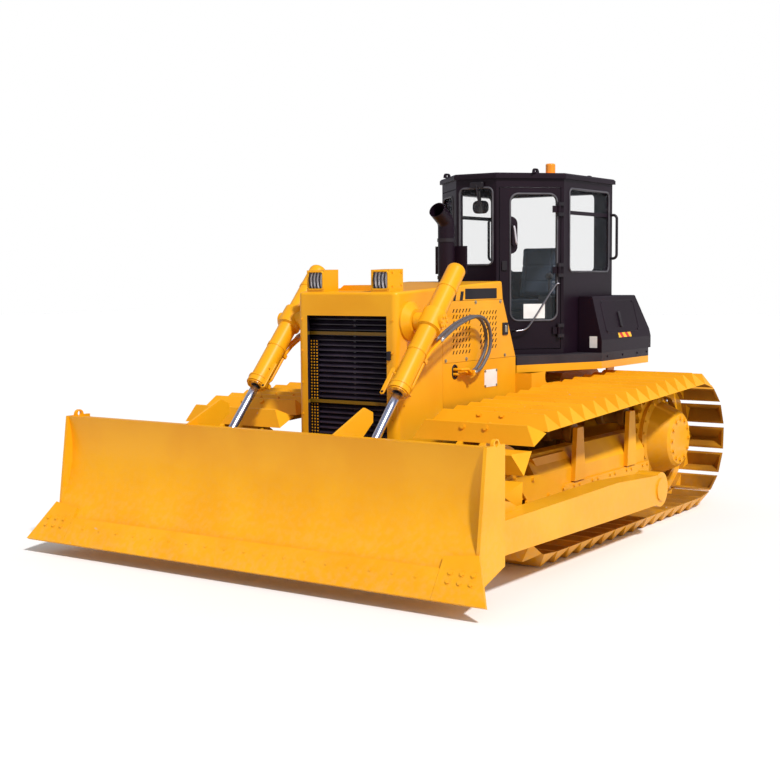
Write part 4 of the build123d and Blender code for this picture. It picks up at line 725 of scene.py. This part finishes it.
# bolts of the running gear
shoe = {"bolts": 0.097, "down": 0.026, "lean": (0.110, 0.094), "crest": 0.006}
for sideName in ("left", "right"):
    spots = []
    for crest, outward in shoePlaces(f"track_{sideName}"):
        travel = outward.cross(Vector((1, 0, 0)))
        for way in (-1, 1):
            slope = (travel * way * shoe["lean"][0] + outward * shoe["lean"][1]).normalized()
            reach = shoe["crest"] + shoe["lean"][1] / shoe["lean"][0] * shoe["down"]
            spot = crest - outward * shoe["down"] + travel * way * reach
            for x in (-1, 1):
                spots.append((spot + Vector((x * shoe["bolts"], 0, 0)), slope))
    print("shoe bolts", sideName, len(spots))
    riding(boltsOn(f"shoeBolts_{sideName}", spots, "shoe", "trackEnamel"))

trackFrame = {
    "guardSide": 1.3386, "rollerSide": 1.325, "rollerUp": 0.445, "pair": 0.05,
    "guardBolts": [
        (-1.06, 0.595), (-0.93, 0.60), (-0.76, 0.42), (-0.66, 0.59), (-0.40, 0.43), (-0.15, 0.45),
    ],
    "rollers": [-0.56 + step * 0.3383 for step in range(7)],
}
guardSpots = [outwardAt(trackFrame["guardSide"], y, z) for y, z in trackFrame["guardBolts"]]
withMirror(boltsOn("guardBolts", guardSpots, "frame", "trackEnamel"))
rollerSpots = [
    outwardAt(trackFrame["rollerSide"], y + shift, trackFrame["rollerUp"])
    for y in trackFrame["rollers"] for shift in (-trackFrame["pair"], trackFrame["pair"])
]
withMirror(boltsOn("rollerBolts", rollerSpots, "panel", "trackEnamel"))

drive = {"y": 2.008, "z": 0.6256, "face": 1.4375, "ring": 0.19, "coverFace": 1.2245, "cover": 0.35}
driveSpots = circleOn(leftSide(drive["face"], drive["y"], drive["z"]), drive["ring"], 12)
driveSpots += circleOn(
    leftSide(drive["coverFace"], drive["y"], drive["z"]), drive["cover"], 20, 0.1
)
withMirror(boltsOn("driveBolts", driveSpots, "frame", "bodyEnamel"))

# bolts of the hood and the guard
panelRows = {
    1.455: (-0.52, -0.20, 0.12, 0.44), 1.915: (-0.50, -0.05, 0.36), 1.02: (-0.52, -0.1, 0.25, 0.58),
}
panelSpots = [outwardAt(machine["hoodSide"], y, z) for z, row in panelRows.items() for y in row]
withMirror(boltsOn("panelBolts", panelSpots, "panel", "zinc"))

frontSpots = gridOn(frontSide(0.43, machine["guardFront"], 1.30), 1, 5, 0, 1.0)
frontSpots += gridOn(leftSide(machine["hoodSide"], -1.12, 1.15), 1, 3, 0, 0.7)
withMirror(boltsOn("guardFrontBolts", frontSpots, "small", "bodyEnamel"))
print("chassis bolts set")

# the blade's bolts
edge = {
    "front": -2.640, "low": 0.110, "lean": math.radians(57.0),
    "first": -1.52, "pitch": 0.1788, "count": 18, "up": 0.14,
    "bit": 1.76, "bitPitch": 0.085, "bitUp": 0.135, "bitRise": 0.06,
}
edgeUp = Vector((0, math.cos(edge["lean"]), math.sin(edge["lean"])))
edgeOut = Vector((0, -math.sin(edge["lean"]), math.cos(edge["lean"])))


def edgeSpot(x, up):
    return Vector((x, edge["front"], edge["low"])) + edgeUp * up, edgeOut


flushSpots = [
    edgeSpot(edge["first"] + edge["pitch"] * step, edge["up"]) for step in range(edge["count"])
]
bitAcross = [side * (edge["bit"] + k * edge["bitPitch"]) for side in (-1, 1) for k in range(3)]
bitSpots = [edgeSpot(x, edge["bitUp"] + k * edge["bitRise"]) for x in bitAcross for k in range(2)]
riding(boltsOn("edgeBolts", flushSpots, "flush", "edgeEnamel"), "blade")
riding(boltsOn("bitBolts", bitSpots, "plough", "edgeEnamel"), "blade")

# the cylinders' small parts
swing, rodEye = Vector((0.673, -1.032, 1.790)), Vector((0.673, -2.010, 0.730))
liftUp = (swing - rodEye).normalized()
behindBarrel = Vector((1, 0, 0)).cross(liftUp) * -1
barrel = {
    "gland": -0.6935, "glandRing": 0.062, "cap": 0.112, "capRing": 0.036,
    "bands": [  # name, up from the swing pin, radius, width, thickness, finish
        ("barrelBand", -0.30, 0.075, 0.034, 0.004, "bodyEnamel"),
        ("glandRing", -0.632, 0.084, 0.014, 0.004, "bodyEnamel"),
        ("topBand", 0.33, 0.075, 0.028, 0.004, "bodyEnamel"),
        ("glandPlate", -0.688, 0.039, 0.012, 0.036, "bodyEnamel"),
        ("rodWiper", -0.690, 0.0345, 0.014, 0.005, "wiperRubber"),
    ],
}


def bandOn(name, centre, axis, radius, width, thickness, finish, steps=36):
    # a flat band round a round part
    axis = Vector(axis).normalized()
    side = axis.orthogonal().normalized()
    up = axis.cross(side)
    shape = bmesh.new()
    inner, outer, half = radius - 0.0005, radius + thickness, width / 2
    section = ((inner, -half), (outer, -half), (outer, half), (inner, half))
    rings = []
    for k in range(steps):
        way = side * math.cos(math.tau * k / steps) + up * math.sin(math.tau * k / steps)
        rings.append([shape.verts.new(Vector(centre) + way * r + axis * a) for r, a in section])
    for k in range(steps):
        for c in range(4):
            shape.faces.new((rings[k - 1][c], rings[k][c], rings[k][c - 3], rings[k - 1][c - 3]))
    bmesh.ops.recalc_face_normals(shape, faces=shape.faces)
    return modelled(name, shape, finish)


def onBarrel(piece):  # on both cylinders
    withMirror(piece, "lift_barrel_left")


glandFace = facePlace(swing + liftUp * barrel["gland"], (1, 0, 0), -liftUp)
glandSpots = circleOn(glandFace, barrel["glandRing"], 8, 0.2)
onBarrel(boltsOn("glandBolts", glandSpots, "small", "bodyEnamel"))
for name, up, *sizes in barrel["bands"]:
    onBarrel(bandOn(name, swing + liftUp * up, liftUp, *sizes))
capSpots = circleOn(leftSide(swing.x + barrel["cap"], swing.y, swing.z), barrel["capRing"], 6)
onBarrel(boltsOn("swingCapBolts", capSpots, "small", "bodyEnamel"))
rod = {"radius": 0.03325, "top": -0.640, "low": -1.370, "steps": 4}
rodPath = [
    swing + liftUp * (rod["top"] + (rod["low"] - rod["top"]) * step / rod["steps"])
    for step in range(rod["steps"] + 1)
]
withMirror(tubeOn("rodSkin", rodPath, rod["radius"], 56, "hardChrome"), "lift_rod_left")

link = {"up": -0.610, "inner": 0.108, "front": 0.030, "length": 0.250, "width": 0.036}
linkMiddle = swing + liftUp * link["up"] - Vector((link["inner"], 0, 0))
linkPlace = facePlace(linkMiddle - behindBarrel * link["front"], (1, 0, 0), -behindBarrel)
linkPin = linkPlace @ Vector((0, -link["length"] * 0.42, 0.008))
footUp = link["length"] * 0.30
onBarrel(plateOn(
    "linkPlate", linkPlace, link["width"], link["length"], 0.010, "bodyEnamel",
    corner=0.0178, edge=0.002,
))
onBarrel(boltsOn("linkPin", [(linkPin, -behindBarrel)], "small", "mattBlack"))
onBarrel(barOn("linkFoot", [
    linkPlace @ Vector((0.010, footUp, 0.004)), linkPlace @ Vector((0.050, footUp, -0.006)),
], 0.009, "bodyEnamel"))
print("cylinders dressed")


def sealTree():  # for the rubber round the cab's windows, and other lips
    start, given = newTree("seals", {
        "Width": "Float", "Height": "Float", "Corner": "Float", "Bead": "Float",
        "Finish": "Material",
    })
    outline = start.node(
        "GeometryNodeCurvePrimitiveQuadrilateral",
        {"Width": given["Width"], "Height": given["Height"]},
    )
    rounded = start.node(
        "GeometryNodeFilletCurve",
        {"Curve": outline, "Count": 8, "Radius": given["Corner"]}, {"mode": "POLY"},
    )
    bead = start.node(
        "GeometryNodeCurvePrimitiveCircle", {"Resolution": 8, "Radius": given["Bead"]}
    )
    tube = start.node("GeometryNodeCurveToMesh", {"Curve": rounded, "Profile Curve": bead})
    return endTree(start, tube, given["Finish"])


sealsMaker = sealTree()


def sealOn(name, place, width, height, corner, bead=0.009, finish="sealRubber"):
    piece = grown(name, bpy.data.meshes.new(name), sealsMaker, {
        "Width": width, "Height": height, "Corner": corner, "Bead": bead,
        "Finish": finishes[finish],
    })
    piece.data.transform(place)
    return piece


windows = {
    "low": 2.170, "frontLow": 2.235, "top": 2.905, "lap": 0.01, "corner": 0.05,
    "proud": 0.001, "sideMiddle": 1.7425,
}
proud = windows["proud"]


def windowSeal(name, side, x, y, width, low):
    place = side(x, y, (low + windows["top"]) / 2)
    return sealOn(name, place, width, windows["top"] - low + windows["lap"], windows["corner"])


riding(windowSeal(
    "frontSeal", frontSide, 0, machine["cabFront"] - proud, 0.34, windows["frontLow"],
))
riding(windowSeal("rearSeal", rearSide, 0, machine["cabRear"] + proud, 0.95, windows["low"]))
withMirror(windowSeal(
    "sideSeal", leftSide, machine["cabSide"] + proud, windows["sideMiddle"], 0.825,
    windows["low"],
))
barPlace = leftSide(0.618, windows["sideMiddle"], 2.695)
withMirror(plateOn("slidingBar", barPlace, 0.81, 0.034, 0.014, "cabEnamel"))

# the wiper: motor cover, arm and short blade, with a round fan behind the glass
wiper = {"x": 0.018, "top": 2.935, "end": (0.055, 2.700), "out": 0.026, "lean": 0.14}
face = machine["cabFront"]
motorPlace = frontSide(wiper["x"], face - 0.001, wiper["top"])
riding(plateOn("wiperMotor", motorPlace, 0.13, 0.055, 0.032, "mattBlack", corner=0.012, edge=0.005))
riding(barOn("wiperArm", [
    (wiper["x"], face - 0.030, wiper["top"]),
    (wiper["x"] + 0.010, face - 0.032, wiper["top"] - 0.08),
    (wiper["end"][0] - 0.005, face - wiper["out"], wiper["end"][1] + 0.05),
], 0.008, "mattBlack", 8))
bladePlace = frontSide(wiper["end"][0] - 0.01, face - 0.006, 2.785)
bladePlace = bladePlace @ Matrix.Rotation(wiper["lean"], 4, "Z")
riding(plateOn("wiperBlade", bladePlace, 0.026, 0.20, 0.016, "wiperRubber"))
fanPlace = frontSide(0.005, face + 0.085, 2.745)
riding(plateOn("cabFan", fanPlace, 0.150, 0.115, 0.040, "mattBlack", corner=0.045, edge=0.012))
riding(barOn("cabFanStem", [
    (0.005, face + 0.065, 2.79), (0.005, face + 0.070, 2.87), (0.0, face + 0.06, 2.985),
], 0.009, "mattBlack", 8))

# doors: along the face from the front post, height, and out of the face
door = {
    "window": (0.130, 0.562, 1.735, 2.852), "lap": 0.006, "corner": 0.075, "railOut": 0.055,
    "rail": [
        (0.570, 2.062), (0.545, 2.060), (0.515, 2.030), (0.30, 1.70), (0.255, 1.655),
        (0.19, 1.642), (0.15, 1.641),
    ],
    "pull": [
        (0.150, 2.575, 0.0), (0.152, 2.572, 0.030), (0.158, 2.545, 0.036),
        (0.170, 2.445, 0.036), (0.176, 2.415, 0.030), (0.178, 2.410, 0.0),
    ],
}


def onDoor(piece):  # on both doors
    withMirror(piece, "cab_door_left")


def doorPoint(along, z, out=0.0):
    return doorSide(along, z, out).translation


near, far, low, high = door["window"]
onDoor(sealOn(
    "doorSeal", doorSide((near + far) / 2, (low + high) / 2, 0.001),
    far - near + door["lap"], high - low + door["lap"], door["corner"],
))
railFeet = [doorPoint(*door["rail"][0]), doorPoint(*door["rail"][-1])]
railPoints = [doorPoint(along, z, door["railOut"]) for along, z in door["rail"]]
railPoints = [railFeet[0], *railPoints, railFeet[1]]
onDoor(barOn("doorRail", railPoints, 0.0085, "railSteel", 12))
feetSpots = [(foot, doorOut) for foot in railFeet]
onDoor(boltsOn("doorRailFeet", feetSpots, "panel", "mattBlack"))
noticePlace = doorSide(0.355, 1.815, -0.012)
riding(labelOn("doorNotice_left", noticePlace, 0.20, 0.13, "blankWhite"), "cab_door_left")
pullPoints = [doorPoint(*point) for point in door["pull"]]
onDoor(barOn("doorPull", pullPoints, 0.009, "handleGrey"))
onDoor(plateOn(
    "doorLock", doorSide(0.072, 2.22), 0.05, 0.085, 0.012, "mattBlack", corner=0.01, edge=0.003,
))
print("cab dressed")


# seat cushions: crowned by air pressure, then sewn in along their channels
def rectangular(name, low, high, lean, bevel):  # soft-edged; lean is how far its top stands back
    shape = bmesh.new()
    bmesh.ops.create_cube(shape, size=1.0)
    size, middle = Vector(high) - Vector(low), (Vector(high) + Vector(low)) / 2
    bmesh.ops.scale(shape, vec=size, verts=shape.verts)
    bmesh.ops.bevel(
        shape, geom=shape.edges[:] + shape.verts[:], offset=bevel, segments=3, profile=0.6,
        affect="EDGES",
    )
    for corner in shape.verts:
        rise = corner.co.z / size.z + 0.5
        corner.co += middle + Vector((0, lean * rise, 0))
    return modelled(name, shape)


def swollen(piece, voxel, pressure, frames, cap):  # cloth under pressure; cap limits each point
    remesh = piece.modifiers.new("remesh", "REMESH")
    remesh.mode, remesh.voxel_size = "VOXEL", voxel
    settled(piece)
    rest = [vertex.co.copy() for vertex in piece.data.vertices]
    cloth = piece.modifiers.new("cloth", "CLOTH")
    cloth.settings.use_pressure = True
    cloth.settings.uniform_pressure_force = pressure
    cloth.settings.effector_weights.gravity = 0.0
    cloth.point_cache.frame_start, cloth.point_cache.frame_end = 1, frames
    scene = bpy.context.scene
    for moment in range(1, frames + 1):
        scene.frame_set(moment)
    settled(piece)
    for vertex, start in zip(piece.data.vertices, rest):
        moved = vertex.co - start
        if moved.length > cap:
            vertex.co = start + moved.normalized() * cap
    scene.frame_set(1)
    return piece


def sewn(piece, seams, width, depth):  # presses the surface in along each seam: axis and place
    for vertex in piece.data.vertices:
        near = max(math.exp(-(((vertex.co[axis] - place) / width) ** 2)) for axis, place in seams)
        vertex.co -= vertex.normal * depth * near


cushions = {  # a block is its low and high corners, its lean and its bevel
    "seatPad": {
        "block": ((-0.235, 1.510, 1.802), (0.235, 1.965, 1.896), 0.0, 0.030),
        "seams": [(0, -0.150), (0, 0.150), (1, 1.640), (1, 1.770)],
    },
    "backPad": {
        "block": ((-0.205, 1.906, 1.925), (0.205, 1.995, 2.408), 0.085, 0.032),
        "seams": [(0, -0.130), (0, 0.130), (2, 2.080), (2, 2.230)],
    },
}
swelling = {"voxel": 0.009, "pressure": 4.0, "frames": 16, "cap": 0.012}
sewing = {"width": 0.007, "depth": 0.006}
for name, pad in cushions.items():
    cushion = swollen(rectangular(name, *pad["block"]), **swelling)
    sewn(cushion, pad["seams"], **sewing)
    cushion.data.shade_smooth()
    cushion.data.materials.clear()
    cushion.data.materials.append(finishes["seatVinyl"])
    riding(cushion)
    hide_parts("seat_cushions")
    print(name, len(cushion.data.polygons), "faces")

# lamps
lamp = {
    "middle": 0.309, "outer": 0.393, "front": -1.191, "low": 2.034, "top": 2.172,
    "bars": 4, "pitch": 0.032, "bar": 0.0065, "bow": 0.014, "bowHalf": 0.03,
    "bolts": [(-1.15, 2.165), (-1.15, 2.06), (-1.03, 2.165), (-1.03, 2.07)],
}
lampHigh = (lamp["low"] + lamp["top"]) / 2
bezelPlace = frontSide(lamp["middle"], lamp["front"] + 0.002, lampHigh)
withMirror(sealOn("lampBezel", bezelPlace, 0.148, 0.138, 0.02, 0.009, "bodyEnamel"))
for index in range(lamp["bars"]):
    x = lamp["middle"] + (index - (lamp["bars"] - 1) / 2) * lamp["pitch"]
    ends, bow = lamp["front"] + 0.004, lamp["front"] - lamp["bow"]
    withMirror(barOn(f"lampBar{index}", [
        (x, ends, lamp["low"] + 0.002), (x, bow, lampHigh - lamp["bowHalf"]),
        (x, bow, lampHigh + lamp["bowHalf"]), (x, ends, lamp["top"] - 0.002),
    ], lamp["bar"], "mattBlack", 8))
lampSpots = [outwardAt(lamp["outer"], y, z) for y, z in lamp["bolts"]]
withMirror(boltsOn("lampBolts", lampSpots, "small", "bodyEnamel"))


def onHood(y, z, out=0.0):  # the hood's and the hull's sheets share one plane
    return leftSide(machine["hoodSide"] + out, y, z)


# hood and hull trim
withMirror(labelOn("hoodPanel", onHood(0.0435, 1.985), 0.517, 0.086, "panelBlack", 0.004))
shear = Matrix.Identity(4)
shear[0][1] = 0.25
for index, (y, width) in enumerate(((-0.375, 0.034), (-0.268, 0.046))):
    stripePlace = onHood(y, 1.970) @ shear
    withMirror(labelOn(f"hoodStripe{index}", stripePlace, width, 0.074, "panelBlack", 0.002))
latch = {"y": 0.44, "z": 1.68, "thick": 0.012}
withMirror(plateOn(
    "hoodLatch", onHood(latch["y"], latch["z"]), 0.085, 0.105, latch["thick"], "mattBlack",
    corner=0.01, edge=0.003,
))
withMirror(plateOn(
    "hoodLatchPull", onHood(latch["y"], latch["z"], latch["thick"]), 0.035, 0.06, 0.006, "zinc",
    corner=0.006, edge=0.002,
))
portPlace = onHood(-0.381, 1.359)
withMirror(sealOn("pipePortLip", portPlace, 0.072, 0.108, 0.0355, 0.007, "mattBlack"))
sign = {"y": 0.20, "z": 1.272, "width": 0.21, "height": 0.145, "inset": 0.02}
withMirror(plateOn(
    "hullPlate", onHood(sign["y"], sign["z"]), sign["width"], sign["height"], 0.002, "blankWhite",
    edge=0.0005,
))
rivetSpots = gridOn(
    onHood(sign["y"], sign["z"], 0.001), 2, 2,
    sign["width"] - sign["inset"], sign["height"] - sign["inset"],
)
withMirror(boltsOn("hullPlateRivets", rivetSpots, "small", "zinc"))
latchPlace = frontSide(0.405, machine["guardFront"], 1.53)
riding(plateOn("grilleLatch", latchPlace, 0.03, 0.07, 0.02, "mattBlack", corner=0.008, edge=0.003))

# a black sheet behind the hood's slots, which paints shade in them, and the panel that closes the
# deck's front corner
shadeSheetPlace = leftSide(0.4595, -0.06, 1.683)
withMirror(plateOn("slotScreen", shadeSheetPlace, 0.86, 0.40, 0.0025, "mattBlack", corner=0.02))
carrier = {"x": (0.474, 0.624), "y": (0.634, 0.655), "z": (1.010, 1.286), "thickness": 0.006}
across = Vector((carrier["x"][1] - carrier["x"][0], carrier["y"][1] - carrier["y"][0], 0))
cornerMiddle = [sum(carrier[axis]) / 2 for axis in "xyz"]
withMirror(plateOn(
    "deckCorner", facePlace(cornerMiddle, across, (across.y, -across.x, 0)), across.length,
    carrier["z"][1] - carrier["z"][0], carrier["thickness"], "bodyEnamel", corner=0.002,
))

# the pierced strip at each side of the louvres
strip = {
    "x": 0.374, "y": -1.1305, "low": 0.82, "top": 1.64, "width": 0.088, "columns": 3,
    "rows": 34, "dotsWidth": 0.056, "inset": 0.03,
}
stripPlace = frontSide(strip["x"], strip["y"], (strip["low"] + strip["top"]) / 2)
stripHigh = strip["top"] - strip["low"]
withMirror(labelOn("meshStrip", stripPlace, strip["width"], stripHigh, "panelBlack"))
dotSpots = gridOn(
    stripPlace, strip["columns"], strip["rows"], strip["dotsWidth"], stripHigh - strip["inset"]
)
withMirror(boltsOn("meshDots", dotSpots, "dot", "trackEnamel"))

# side boxes, deck edge and stack
box = {"low": (0.885, 1.545), "high": (0.785, 1.940), "skin": 0.883}  # x and z of the leaning side
boxRun, boxRise = box["high"][0] - box["low"][0], box["high"][1] - box["low"][1]
boxLean = Vector((boxRun, 0, boxRise)).normalized()
boxOut = Vector((boxLean.z, 0, -boxLean.x))


def onBox(y, z):
    x = box["skin"] + (z - box["low"][1]) * boxRun / boxRise
    return facePlace((x, y, z), (0, 1, 0), boxOut)


withMirror(labelOn("boxTape", onBox(2.02, 1.575), 0.28, 0.046, "stripedTape"))
withMirror(labelOn("boxLabel", frontSide(0.80, 1.502, 1.525), 0.075, 0.105, "blankWhite"))
withMirror(sealOn("boxLid", onBox(2.0, 1.75), 0.72, 0.30, 0.03, 0.004, "cabEnamel"))
withMirror(plateOn(
    "boxGrip", onBox(1.98, 1.72), 0.045, 0.15, 0.014, "mattBlack", corner=0.012, edge=0.004,
))
boxSpots = [(onBox(y, z).translation, boxOut) for y in (1.66, 2.34) for z in (1.62, 1.88)]
withMirror(boltsOn("boxBolts", boxSpots, "small", "mattBlack"))
deckSpots = [outwardAt(0.885, y, 1.392) for y in (1.62, 1.95, 2.28, 2.50)]
withMirror(boltsOn("deckBolts", deckSpots, "small", "cabEnamel"))

stack = {"y": 0.262, "radius": 0.072, "clamps": {"stackClampLow": 2.12, "stackClampHigh": 2.44}}
for name, z in stack["clamps"].items():
    middle = (0, stack["y"], z)
    riding(bandOn(name, middle, (0, 0, 1), stack["radius"], 0.03, 0.006, "mattBlack"))
print("trim set")
